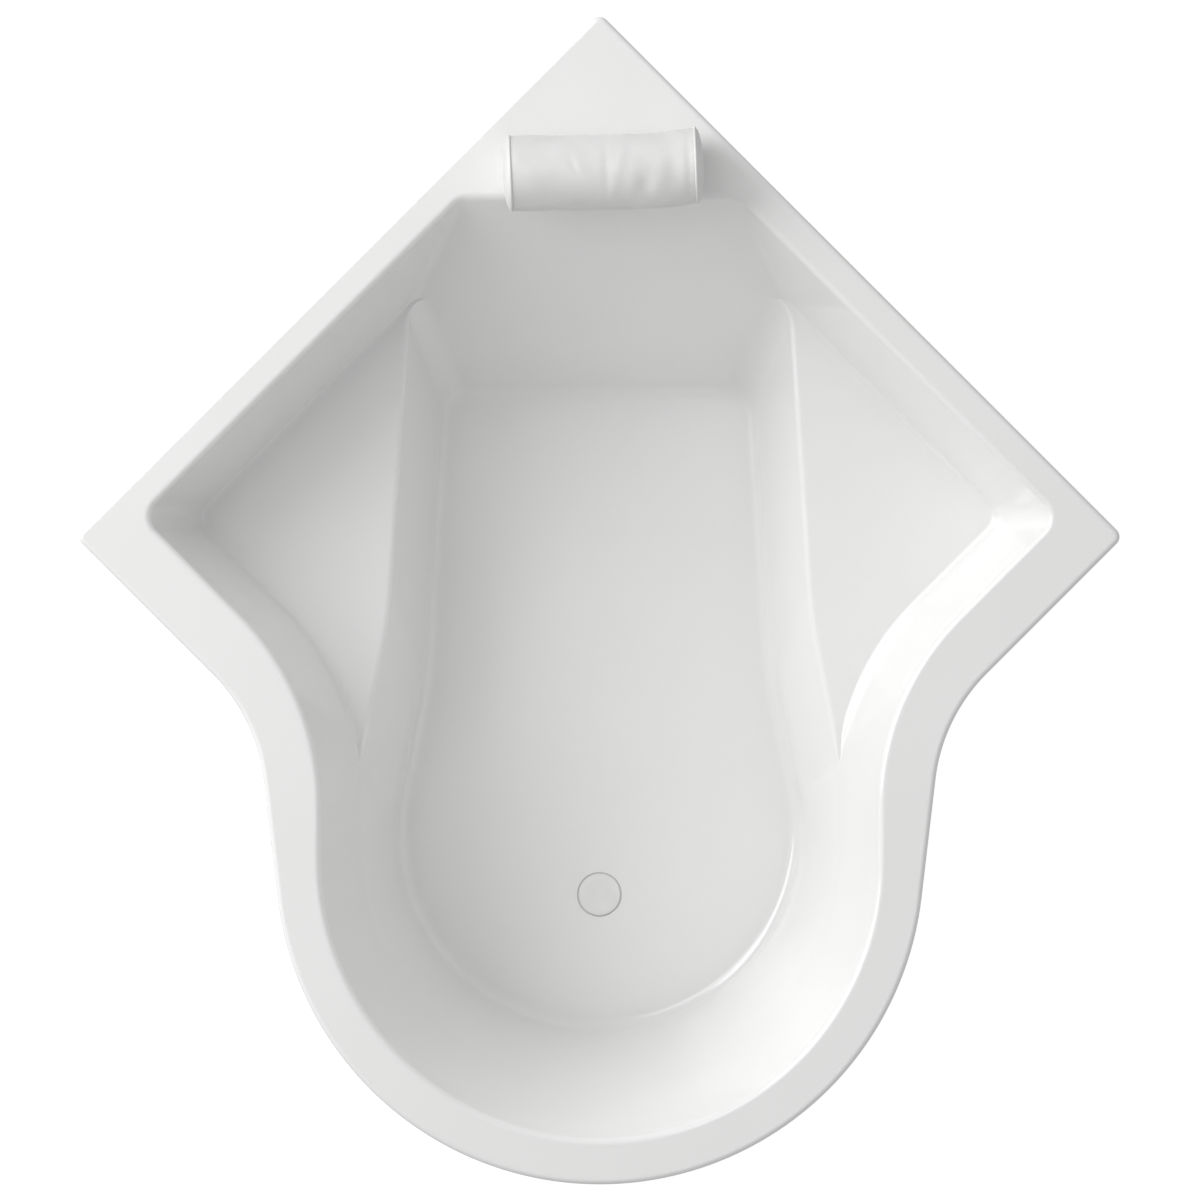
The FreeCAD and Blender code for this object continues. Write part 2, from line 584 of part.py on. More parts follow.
def make_shell():
    """The moulded shell: deck with lip, walls, shelves and well, all rounded."""
    deck_block = upright(
        "DeckBlock", sketch_of("RimOutline", rim_chain(0)), LIP_BOTTOM, "Sizes.lipDrop"
    )
    under_deck = upright(
        "UnderDeck",
        sketch_of("LipOutline", rim_chain(SIZE["lipThick"])),
        LIP_BOTTOM,
        "Sizes.lipDrop - Sizes.shellThick",
    )
    thick = SIZE["shellThick"]
    upper_skin = ruled(
        "UpperSkin",
        sketch_of("ShelfSkin", mouth_chain(1, thick), f"{SHELF_LEVEL} - Sizes.shellThick"),
        sketch_of("MouthSkin", mouth_chain(0, thick), DECK_BOTTOM),
    )
    lower_skin = ruled(
        "LowerSkin",
        sketch_of("FloorSkin", floor_chain(thick), SHELL_BOTTOM),
        sketch_of("WellSkin", well_chain(thick), f"{SHELF_LEVEL} - Sizes.shellThick"),
    )
    mouth = sketch_of("Mouth", mouth_chain(0, 0), "Sizes.rimTop")
    upper_space = ruled(
        "UpperSpace", sketch_of("ShelfWalls", mouth_chain(1, 0), SHELF_LEVEL), mouth
    )
    knee = SIZE["floorRound"] * 2
    lower_space = ruled(
        "LowerSpace",
        sketch_of("WellFloor", floor_chain(0), FLOOR_LEVEL),
        sketch_of("WellKnee", floor_chain(0, knee), f"{FLOOR_LEVEL} + 2 * Sizes.floorRound"),
        sketch_of("WellTop", well_chain(0), SHELF_LEVEL),
    )
    column = upright(
        "WellColumn",
        sketch_of("WellSides", column_chain()),
        f"{SHELF_LEVEL} - Sizes.toolOver",
        "2 * Sizes.shelfRound",
    )
    doc.recompute()
    shelf_level = SIZE["rimTop"] - SIZE["shelfDepth"]
    floor_level = SIZE["rimTop"] - SIZE["wellDepth"]
    deck = fillet("Deck", deck_block, edges_at(deck_block, SIZE["rimTop"]), "rimRound")
    shelf_space = fillet(
        "ShelfSpace", upper_space, edges_at(upper_space, shelf_level), "shelfRound"
    )
    well_space = fillet(
        "WellSpace", lower_space, edges_at(lower_space, floor_level), "floorRound"
    )
    well_mouth = combined("Part::MultiCommon", "WellMouth", upper_space, column)
    hollow_deck = combined("Part::Cut", "HollowDeck", deck, under_deck)
    whole = combined("Part::MultiFuse", "Whole", hollow_deck, upper_skin, lower_skin)
    space = combined("Part::MultiFuse", "Space", shelf_space, well_mouth, well_space)
    shell = combined("Part::Cut", "Shell", whole, space)
    doc.recompute()
    numbers = edges_at(shell, SIZE["rimTop"], lambda edge: lies_on(edge, mouth.Shape))
    smooth = fillet("SmoothShell", shell, numbers, "mouthRound")
    drain_y = from_corner("Sizes.drainFromCorner")
    recess = place(
        cylinder("DrainRecess", "Sizes.recessDiameter / 2", "2 * Sizes.recessDepth"),
        y=drain_y,
        z=f"{FLOOR_LEVEL} - Sizes.recessDepth",
    )
    hole = place(
        cylinder("DrainHole", "Sizes.drainHole / 2", "2 * Sizes.shellThick"),
        y=drain_y,
        z=f"{SHELL_BOTTOM} - Sizes.shellThick / 2",
    )
    drain = combined("Part::MultiFuse", "Drain", recess, hole)
    piece("tub_shell", combined("Part::Cut", "TubShell", smooth, drain))


def make_waste():
    """Everything that is clamped in the hole of the floor, on its upright axis."""
    drain_y = from_corner("Sizes.drainFromCorner")
    seat = f"({FLOOR_LEVEL} - Sizes.recessDepth + Sizes.gasketThick)"
    neck = "(Sizes.throatRadius + Sizes.neckWall)"
    loose = f"({neck} + Sizes.wasteGap)"
    disc = "(Sizes.recessDiameter / 2 - Sizes.wasteGap)"

    def ring(name, inner, outer, bottom, height):
        corners = [(inner, "0"), (outer, "0"), (outer, height), (inner, height)]
        piece(name, place(turned(name.title(), corners), y=drain_y, z=bottom))

    throat = "Sizes.throatRadius"
    top = "Sizes.flangeThick"
    tail = "-Sizes.neckLength"
    flange = turned(
        "FlangeBody",
        [(throat, tail), (neck, tail), (neck, "0"), (disc, "0"), (disc, top), (throat, top)],
    )
    guide = "Sizes.stemRadius + Sizes.stemGap"
    guide_bottom = "-(Sizes.guideDrop + Sizes.guideHeight)"
    hub = turned(
        "FlangeHub",
        [
            (guide, guide_bottom),
            ("Sizes.hubRadius", guide_bottom),
            ("Sizes.hubRadius", "-Sizes.guideDrop"),
            (guide, "-Sizes.guideDrop"),
        ],
    )
    spokes = []
    for number in range(3):
        spoke = box(
            f"FlangeSpoke{number}",
            "Sizes.throatRadius - Sizes.hubRadius + 2 * Sizes.spokeBite",
            "Sizes.spokeWide",
            "Sizes.guideHeight",
        )
        turn = Rotation(Vector(0, 0, 1), 120 * number + 90)
        spoke.Placement = Placement(Vector(0, 0, 0), turn)
        reach = turn.multVec(Vector(1, 0, 0))
        aside = turn.multVec(Vector(0, -0.5, 0))
        start = "(Sizes.hubRadius - Sizes.spokeBite)"
        for axis in ("x", "y"):
            out, across = getattr(reach, axis), getattr(aside, axis)
            value = f"{out:.6f} * {start} + {across:.6f} * Sizes.spokeWide"
            spoke.setExpression(f"Placement.Base.{axis}", value)
        spoke.setExpression("Placement.Base.z", guide_bottom)
        spokes.append(spoke)
    whole = combined("Part::MultiFuse", "WasteFlange", flange, hub, *spokes)
    piece("waste_flange", place(whole, y=drain_y, z=seat))

    gasket_bottom = f"{FLOOR_LEVEL} - Sizes.recessDepth"
    gasket_edge = f"{disc} - Sizes.gasketInset"
    ring("flange_gasket", loose, gasket_edge, gasket_bottom, "Sizes.gasketThick")
    seal_bottom = f"{SHELL_BOTTOM} - Sizes.sealThick"
    ring("waste_seal", loose, "Sizes.recessDiameter / 2", seal_bottom, "Sizes.sealThick")
    nut = padded(
        "WasteNutBlank", lambda s: hexagon(s, "Sizes.lockNutRadius"), "Sizes.lockNutHeight"
    )
    bore = cylinder("WasteNutBore", loose, "Sizes.lockNutHeight")
    lock_nut = combined("Part::Cut", "WasteNut", nut, bore)
    lock_bottom = f"{seal_bottom} - Sizes.lockNutHeight"
    piece("waste_lock_nut", place(lock_nut, y=drain_y, z=lock_bottom))

    union_bottom = f"{SHELL_BOTTOM} - Sizes.unionTop - Sizes.unionHeight"
    socket = f"({neck} + Sizes.socketWall)"
    skirt = f"({socket} + Sizes.wasteGap)"
    wide = f"({socket} + Sizes.unionWall)"
    shoulder = "Sizes.unionShoulder"
    union = turned(
        "TrapUnion",
        [
            (skirt, "0"),
            (wide, "0"),
            (wide, "Sizes.unionHeight"),
            (loose, "Sizes.unionHeight"),
            (loose, shoulder),
            (skirt, shoulder),
        ],
    )
    piece("trap_union_nut", place(union, y=drain_y, z=union_bottom))

    plate = f"({SHELL_BOTTOM} - Sizes.trapTop)"
    rise = f"({union_bottom} + {shoulder} - Sizes.wasteGap)"
    inside = "(Sizes.trapRadius - Sizes.trapWall)"
    cup = turned(
        "TrapCup",
        [
            (inside, "Sizes.trapBottom"),
            ("Sizes.trapRadius", "Sizes.trapBottom"),
            ("Sizes.trapRadius", plate),
            (socket, plate),
            (socket, rise),
            (loose, rise),
            (loose, f"{plate} - Sizes.trapWall"),
            (inside, f"{plate} - Sizes.trapWall"),
        ],
    )
    sideways = Rotation(Vector(1, 0, 0), -90)
    pipe_start = "(Sizes.trapRadius - Sizes.outletBite)"
    pipe_wide = "(Sizes.outletRadius + Sizes.outletCollar)"
    pipe = cylinder("TrapPipe", "Sizes.outletRadius", f"Sizes.outletReach - {pipe_start}")
    place(pipe, y=pipe_start, z="Sizes.outletHeight", turn=sideways)
    collar_long = f"Sizes.outletReach - Sizes.outletFree - {pipe_start}"
    collar = cylinder("TrapCollar", pipe_wide, collar_long)
    place(collar, y=pipe_start, z="Sizes.outletHeight", turn=sideways)
    way_radius = "Sizes.outletRadius - Sizes.trapWall"
    way = cylinder("TrapWay", way_radius, "Sizes.outletReach + Sizes.toolOver")
    place(way, z="Sizes.outletHeight", turn=sideways)
    hollow = cylinder("TrapHollow", inside, f"2 * {pipe_wide}")
    place(hollow, z=f"Sizes.outletHeight - {pipe_wide}")
    body = combined("Part::MultiFuse", "TrapWhole", cup, pipe, collar)
    room = combined("Part::MultiFuse", "TrapRoom", way, hollow)
    piece("trap_body", place(combined("Part::Cut", "TrapBody", body, room), y=drain_y))

    grip = "(Sizes.trapRadius + Sizes.wasteGap)"
    floor = "(Sizes.trapBottom - Sizes.capFloor)"
    brim = "(Sizes.trapBottom + Sizes.capHeight)"
    cap = turned(
        "TrapCap",
        [
            ("0", floor),
            (f"{grip} + Sizes.trapWall", floor),
            (f"{grip} + Sizes.trapWall", brim),
            (grip, brim),
            (grip, "Sizes.trapBottom"),
            ("0", "Sizes.trapBottom"),
        ],
    )
    piece("trap_cap", place(cap, y=drain_y))

    under_cover = f"({seat} + Sizes.flangeThick + Sizes.coverLift)"
    edge = "Sizes.coverDiameter / 2"
    crown = "(Sizes.coverEdge + Sizes.coverDome)"
    cover = turned(
        "DrainCover",
        [
            ("0", "-Sizes.bossHeight"),
            ("Sizes.hubRadius", "-Sizes.bossHeight"),
            ("Sizes.hubRadius", "0"),
            (edge, "0"),
            (edge, "Sizes.coverEdge"),
            (f"{edge} - Sizes.coverBevel", "Sizes.coverEdge + Sizes.coverStep"),
            (f"{edge} * 0.6", "Sizes.coverEdge + 0.75 * Sizes.coverDome"),
            ("0", crown),
        ],
    )
    piece("drain_cover", place(cover, y=drain_y, z=under_cover))
    seal_in = f"{throat} + Sizes.coverSealInset"
    seal_out = f"{neck} + Sizes.coverSealWide"
    seal_low = f"{under_cover} - Sizes.coverSealThick"
    ring("cover_seal", seal_in, seal_out, seal_low, "Sizes.coverSealThick")
    stem = cylinder("CoverStem", "Sizes.stemRadius", "Sizes.stemLength")
    stem_bottom = f"{under_cover} - Sizes.bossHeight - Sizes.stemLength"
    piece("cover_stem", place(stem, y=drain_y, z=stem_bottom))


def square_tube(name, length):
    """A length of square tube that stands on its end, centred on its axis."""

    def ring(sketch):
        for half in ("Sizes.railSize / 2", "(Sizes.railSize / 2 - Sizes.railWall)"):
            low, high = f"-{half}", half
            polygon(sketch, [(low, low), (high, low), (high, high), (low, high)])

    return padded(name, ring, length)


def drilled(name, solid, holes):
    """A solid with upright holes, each given by its place, radius, bottom and height."""
    tools = []
    for number, (x, y, radius, bottom, height) in enumerate(holes):
        tool = cylinder(f"{name}Hole{number}", radius, height)
        tools.append(place(tool, x=x, y=y, z=bottom))
    cutter = tools[0]
    if len(tools) > 1:
        cutter = combined("Part::MultiFuse", name + "Holes", *tools)
    return combined("Part::Cut", name, solid, cutter)


ACROSS = Rotation(Vector(0, 1, 0), 90)
ALONG = Rotation(Vector(1, 0, 0), 90)
CROSS_BACK = "(Sizes.railBack + Sizes.crossBack)"
CROSS_WINGS = "(Sizes.railBack + Sizes.crossWings)"
CROSS_FRONT = "(Sizes.railBack + Sizes.railLength - Sizes.crossFront)"
FEET = {
    "corner": ("0", from_corner("Sizes.footCorner")),
    "wing_left": ("-Sizes.footWings", from_corner(CROSS_WINGS)),
    "wing_right": ("Sizes.footWings", from_corner(CROSS_WINGS)),
    "front_left": ("-Sizes.footFront", from_corner(CROSS_FRONT)),
    "front_right": ("Sizes.footFront", from_corner(CROSS_FRONT)),
}


def board_screw_places():
    """Three screws through each long rail."""
    places = []
    for side in ("-", ""):
        for step in range(3):
            distance = f"(Sizes.railBack + Sizes.screwPlaceBack + {step} * Sizes.screwPitch)"
            places.append((f"{side}Sizes.railHalfGap", from_corner(distance)))
    return places


def wood_screw(name, x, y, head_bottom, grip):
    """A round headed screw that points up, through grip and into the wood."""
    head = cylinder(name + "Head", "Sizes.screwHead", "Sizes.screwHeadHigh")
    shank = cylinder(name + "Shank", "Sizes.screwRadius", f"{grip} + Sizes.screwBite")
    place(shank, z="Sizes.screwHeadHigh")
    return place(combined("Part::MultiFuse", name, head, shank), x=x, y=y, z=head_bottom)


def make_frame():
    """Board under the floor and the welded frame of square tube under it."""
    gap_radius = "Sizes.screwRadius + Sizes.screwGap"
    board = upright(
        "BoardBlank",
        sketch_of("BoardOutline", floor_chain(-SIZE["boardInset"])),
        BOARD_BOTTOM,
        "Sizes.boardThick",
    )
    holes = [
        (
            "0",
            from_corner("Sizes.drainFromCorner"),
            "Sizes.boardHole / 2",
            f"{BOARD_BOTTOM} - Sizes.toolOver",
            "Sizes.boardThick + 2 * Sizes.toolOver",
        )
    ]
    bite = "Sizes.screwBite + 2 * Sizes.toolOver"
    for x, y in board_screw_places():
        holes.append((x, y, gap_radius, f"{BOARD_BOTTOM} - Sizes.toolOver", bite))
    piece("base_board", drilled("BaseBoard", board, holes))

    half_rail = "Sizes.railSize / 2"
    through_rail = "Sizes.railSize + 2 * Sizes.toolOver"
    for label, side in (("left", "-"), ("right", "")):
        tube = square_tube(f"LongTube{label}", "Sizes.railLength")
        place(
            tube,
            x=f"{side}Sizes.railHalfGap",
            y=from_corner("Sizes.railBack"),
            z=f"{BOARD_BOTTOM} - {half_rail}",
            turn=ALONG,
        )
        through = [
            (x, y, gap_radius, f"{RAIL_BOTTOM} - Sizes.toolOver", through_rail)
            for x, y in board_screw_places()
            if x.startswith("-") == (side == "-")
        ]
        piece(f"frame_rail_{label}", drilled(f"LongRail{label}", tube, through))
    screws = [
        wood_screw(f"BoardScrew{n}", x, y, f"{RAIL_BOTTOM} - Sizes.screwHeadHigh", "Sizes.railSize")
        for n, (x, y) in enumerate(board_screw_places())
    ]
    piece("board_screws", group("BoardScrews", screws))

    middle = f"{RAIL_BOTTOM} - {half_rail}"
    foot_hole = "Sizes.studRadius + Sizes.threadGap"
    below_cross = f"{CROSS_BOTTOM} - Sizes.toolOver"
    for label, name, distance, feet in (
        ("cross_rail_back", "crossBack", CROSS_BACK, []),
        ("cross_rail_wings", "crossWings", CROSS_WINGS, ["wing_left", "wing_right"]),
        ("cross_rail_front", "crossFront", CROSS_FRONT, ["front_left", "front_right"]),
    ):
        solid = square_tube(name + "Tube", f"2 * Sizes.{name}Half")
        place(solid, x=f"-Sizes.{name}Half", y=from_corner(distance), z=middle, turn=ACROSS)
        if feet:
            holes = [(*FEET[foot], foot_hole, below_cross, through_rail) for foot in feet]
            solid = drilled(name + "Rail", solid, holes)
        piece(label, solid)
    spine = square_tube("SpineTube", f"{CROSS_BACK} - {half_rail} - Sizes.spineEnd")
    place(spine, y=from_corner("Sizes.spineEnd"), z=middle, turn=ALONG)
    hole = (*FEET["corner"], foot_hole, below_cross, through_rail)
    piece("spine_rail", drilled("SpineRail", spine, [hole]))

    wing_y = from_corner(CROSS_WINGS)
    under_shelf = f"{SHELF_LEVEL} - Sizes.shellThick - Sizes.postPad"
    posts = (
        ("corner_post", "0", from_corner("Sizes.cornerPost"), f"{DECK_BOTTOM} - Sizes.postPad"),
        ("wing_post_left", "-Sizes.wingPost", wing_y, under_shelf),
        ("wing_post_right", "Sizes.wingPost", wing_y, under_shelf),
    )
    for label, x, y, top in posts:
        post = square_tube(label + "Tube", f"{top} - ({RAIL_BOTTOM})")
        piece(label, place(post, x=x, y=y, z=RAIL_BOTTOM))
        pad = box(label + "Pad", "Sizes.postPadWide", "Sizes.postPadWide", "Sizes.postPad")
        half_pad = "Sizes.postPadWide / 2"
        place(pad, x=f"{x} - {half_pad}", y=f"{y} - {half_pad}", z=top)
        piece(label + "_pad", pad)


def make_feet():
    """Five levelling feet: a pad and a stud each, with two lock nuts on every rail."""
    nuts = []
    for foot, (x, y) in FEET.items():
        stud = cylinder(f"Stud_{foot}", "Sizes.studRadius", "Sizes.studTop - Sizes.padFloor")
        piece(f"foot_stud_{foot}", place(stud, x=x, y=y, z="Sizes.padFloor"))
        hollow = "Sizes.studRadius + Sizes.padGap"
        pad = turned(
            f"Pad_{foot}",
            [
                ("0", "0"),
                ("Sizes.padRadius", "0"),
                ("Sizes.padRadius", "Sizes.padEdge / 2"),
                ("Sizes.padRadius - Sizes.padSlope", "Sizes.padEdge"),
                ("Sizes.padSocket", "Sizes.padEdge + Sizes.padRise"),
                ("Sizes.padSocket", "Sizes.padHeight"),
                (hollow, "Sizes.padHeight"),
                (hollow, "Sizes.padFloor"),
                ("0", "Sizes.padFloor"),
            ],
        )
        piece(f"foot_pad_{foot}", place(pad, x=x, y=y))
        for place_name, bottom in (
            ("Lower", f"{CROSS_BOTTOM} - Sizes.nutHeight"),
            ("Upper", RAIL_BOTTOM),
        ):
            name = f"{place_name}Nut_{foot}"
            blank = padded(name + "Blank", lambda s: hexagon(s, "Sizes.nutRadius"), "Sizes.nutHeight")
            bore = cylinder(name + "Bore", "Sizes.studRadius + Sizes.threadGap", "Sizes.nutHeight")
            nut = combined("Part::Cut", name, blank, bore)
            nuts.append(place(nut, x=x, y=y, z=bottom))
    piece("foot_lock_nuts", group("LockNuts", nuts))


def on_edge(solid, side, edge, start, length, inset, bottom):
    """Lay a solid along a straight edge of the rim, so far from its sharp end and from its face.

    The solid's own X runs along the edge and its own Y points out of the bath.
    """
    if edge == "wall":
        end_x, end_y = "0", CORNER
        angle = -45 if side > 0 else 45
    else:
        end_x, end_y = f"{side} * {TIP}", f"{CORNER} - {TIP}"
        angle = -135 if side > 0 else 135
    cosine = 1 if abs(angle) < 90 else -1
    sine = 1 if angle > 0 else -1
    along = start if side > 0 else f"-({start} + {length})"
    x = f"{end_x} + ({cosine} * ({along}) + {sine} * ({inset})) * sqrt(0.5)"
    y = f"{end_y} + ({sine} * ({along}) - {cosine} * ({inset})) * sqrt(0.5)"
    return place(solid, x=x, y=y, z=bottom, turn=Rotation(Vector(0, 0, 1), angle))


def edge_piece(name, corners, length):
    """A profile, drawn outwards and upwards, that runs along the edge it is laid on."""
    return padded(name, lambda s: polygon(s, corners), length, plane="YZ_Plane")


def make_rim_fixings():
    """Battens under the rim, wall brackets and the catch plates of the apron."""
    batten_bottom = f"{DECK_BOTTOM} - Sizes.battenHigh"
    far = "Sizes.lipThick + Sizes.battenGap + Sizes.battenWide"
    near = "(Sizes.lipThick + Sizes.battenGap)"
    sheet_thick = "Sizes.bracketThick"
    top = f"({batten_bottom})"
    step = f"({LIP_BOTTOM} - Sizes.bracketStep)"
    outline = [
        (f"-({far})", top),
        (f"-{near}", top),
        (f"-{near}", step),
        ("0", step),
        ("0", f"{step} - Sizes.bracketDrop"),
        (f"-{sheet_thick}", f"{step} - Sizes.bracketDrop"),
        (f"-{sheet_thick}", f"{step} - {sheet_thick}"),
        (f"-{near} - {sheet_thick}", f"{step} - {sheet_thick}"),
        (f"-{near} - {sheet_thick}", f"{top} - {sheet_thick}"),
        (f"-({far})", f"{top} - {sheet_thick}"),
    ]
    screws = []
    inward = f"({far} - Sizes.battenWide / 2)"
    first = "(Sizes.battenStart + Sizes.bracketInset)"
    batten_end = "Sizes.battenStart + Sizes.battenLong"
    second = f"({batten_end} - Sizes.bracketWide - Sizes.bracketInset)"
    for label, side in (("left", -1), ("right", 1)):
        bits = []
        for place_name, start in (("back", first), ("front", second)):
            name = f"Bracket_{label}_{place_name}"
            blank = edge_piece(name + "Blank", outline, "Sizes.bracketWide")
            reach = "3 * Sizes.bracketThick"
            wall_hole = cylinder(name + "WallHole", "Sizes.bracketHole / 2", reach)
            place(
                wall_hole,
                x="Sizes.bracketWide / 2",
                y="Sizes.bracketThick",
                z=f"{step} - Sizes.bracketHoleDrop",
                turn=Rotation(Vector(1, 0, 0), 90),
            )
            screw_radius = "Sizes.screwRadius + Sizes.screwGap"
            wood_hole = cylinder(name + "WoodHole", screw_radius, reach)
            wood_z = f"{top} - 2 * Sizes.bracketThick"
            place(wood_hole, x="Sizes.bracketWide / 2", y=f"-{inward}", z=wood_z)
            holes = combined("Part::MultiFuse", name + "Holes", wall_hole, wood_hole)
            bracket = combined("Part::Cut", name, blank, holes)
            on_edge(bracket, side, "wall", start, "Sizes.bracketWide", "0", "0")
            piece(f"wall_bracket_{label}_{place_name}", bracket)
            middle = f"({start} + Sizes.bracketWide / 2)"
            screw = wood_screw(name + "Screw", "0", "0", "0", sheet_thick)
            screw_bottom = f"{top} - {sheet_thick} - Sizes.screwHeadHigh"
            on_edge(screw, side, "wall", middle, "0", inward, screw_bottom)
            screws.append(screw)
            bit = cylinder(name + "Pilot", screw_radius, "Sizes.screwBite + 2 * Sizes.toolOver")
            bit_bottom = f"{top} - Sizes.toolOver"
            bits.append(on_edge(bit, side, "wall", middle, "0", inward, bit_bottom))
        batten = box(f"Batten_{label}", "Sizes.battenLong", "Sizes.battenWide", "Sizes.battenHigh")
        on_edge(batten, side, "wall", "Sizes.battenStart", "Sizes.battenLong", far, top)
        pilots = combined("Part::MultiFuse", f"Pilots_{label}", *bits)
        piece(f"rim_batten_{label}", combined("Part::Cut", f"WallBatten_{label}", batten, pilots))
        front = box(
            f"FrontBatten_{label}",
            "Sizes.frontBattenLong",
            "Sizes.frontBattenWide",
            "Sizes.battenHigh",
        )
        inset = "Sizes.frontBattenInset + Sizes.frontBattenWide"
        start, length = "Sizes.frontBattenStart", "Sizes.frontBattenLong"
        on_edge(front, side, "front", start, length, inset, top)
        piece(f"front_batten_{label}", front)
    piece("bracket_screws", group("BracketScrews", screws))
    end = box("EndBatten", "Sizes.endBattenLong", "Sizes.endBattenWide", "Sizes.battenHigh")
    end_y = from_corner("(Sizes.bulbCentre + Sizes.bulbRadius)")
    place(end, x="-Sizes.endBattenLong / 2", y=f"{end_y} + Sizes.endBattenInset", z=top)
    piece("end_batten", end)


def catch_places():
    """Two catches under each wing front and one at the foot end."""
    first = "(Sizes.frontBattenStart + Sizes.catchInset)"
    batten_end = "Sizes.frontBattenStart + Sizes.frontBattenLong"
    second = f"({batten_end} - Sizes.catchWide - Sizes.catchInset)"
    return [(side, start) for side in (-1, 1) for start in (first, second)]


def make_apron():
    """Removable panel under the rim, with flanges, magnets and their plates."""
    bottom = "Sizes.apronGap"
    top = f"({LIP_BOTTOM} - Sizes.apronGap)"
    face = SIZE["apronInset"]
    back = face + SIZE["apronThick"]
    flange = back + SIZE["apronFlange"]
    wall = upright(
        "ApronWall", sketch_of("ApronOutline", band(face, back)), bottom, f"{top} - {bottom}"
    )
    low = upright(
        "ApronLowFlange", sketch_of("LowFlange", band(face, flange)), bottom, "Sizes.apronThick"
    )
    high = upright(
        "ApronTopFlange",
        sketch_of("TopFlange", band(face, flange)),
        f"{top} - Sizes.apronThick",
        "Sizes.apronThick",
    )
    blank = combined("Part::MultiFuse", "ApronBlank", wall, low, high)
    blank.Refine = True
    doc.recompute()
    level = SIZE["rimTop"] - SIZE["lipDrop"] - SIZE["apronGap"]
    run = Part.Wire([edge_of(part, level) for part in front_run(face)])
    numbers = edges_at(blank, level, lambda edge: lies_on(edge, run))
    piece("apron_panel", fillet("ApronPanel", blank, numbers, "apronRound"))

    inner = "(Sizes.apronInset + Sizes.apronThick + Sizes.apronFlange)"
    hold = f"({inner} + Sizes.magnetThick)"
    plate_face = f"({hold} + Sizes.catchGap)"
    batten_bottom = f"({DECK_BOTTOM} - Sizes.battenHigh)"
    plate_bottom = f"({top} - Sizes.magnetHigh)"
    sheet_thick = "Sizes.catchPlate"
    outline = [
        ("0", plate_bottom),
        ("0", batten_bottom),
        ("-Sizes.magnetHigh", batten_bottom),
        ("-Sizes.magnetHigh", f"{batten_bottom} - {sheet_thick}"),
        (f"-{sheet_thick}", f"{batten_bottom} - {sheet_thick}"),
        (f"-{sheet_thick}", plate_bottom),
    ]
    magnets, plates = [], []
    size = ("Sizes.catchWide", "Sizes.magnetThick", "Sizes.magnetHigh")
    for number, (side, start) in enumerate(catch_places()):
        magnet = box(f"Magnet{number}", *size)
        on_edge(magnet, side, "front", start, "Sizes.catchWide", hold, plate_bottom)
        magnets.append(magnet)
        plate = edge_piece(f"CatchPlate{number}", outline, "Sizes.catchWide")
        on_edge(plate, side, "front", start, "Sizes.catchWide", plate_face, "0")
        plates.append(plate)
    end_y = from_corner("(Sizes.bulbCentre + Sizes.bulbRadius)")
    magnet = box("MagnetEnd", *size)
    seat_y = f"{end_y} + Sizes.magnetSeat"
    place(magnet, x="-Sizes.catchWide / 2", y=f"{seat_y} + {inner}", z=plate_bottom)
    magnets.append(magnet)
    plate = edge_piece("CatchPlateEnd", outline, "Sizes.catchWide")
    about = Rotation(Vector(0, 0, 1), 180)
    plate_y = f"{seat_y} + {plate_face}"
    plates.append(place(plate, x="Sizes.catchWide / 2", y=plate_y, turn=about))
    piece("apron_magnets", group("Magnets", magnets))
    piece("catch_plates", group("CatchPlates", plates))


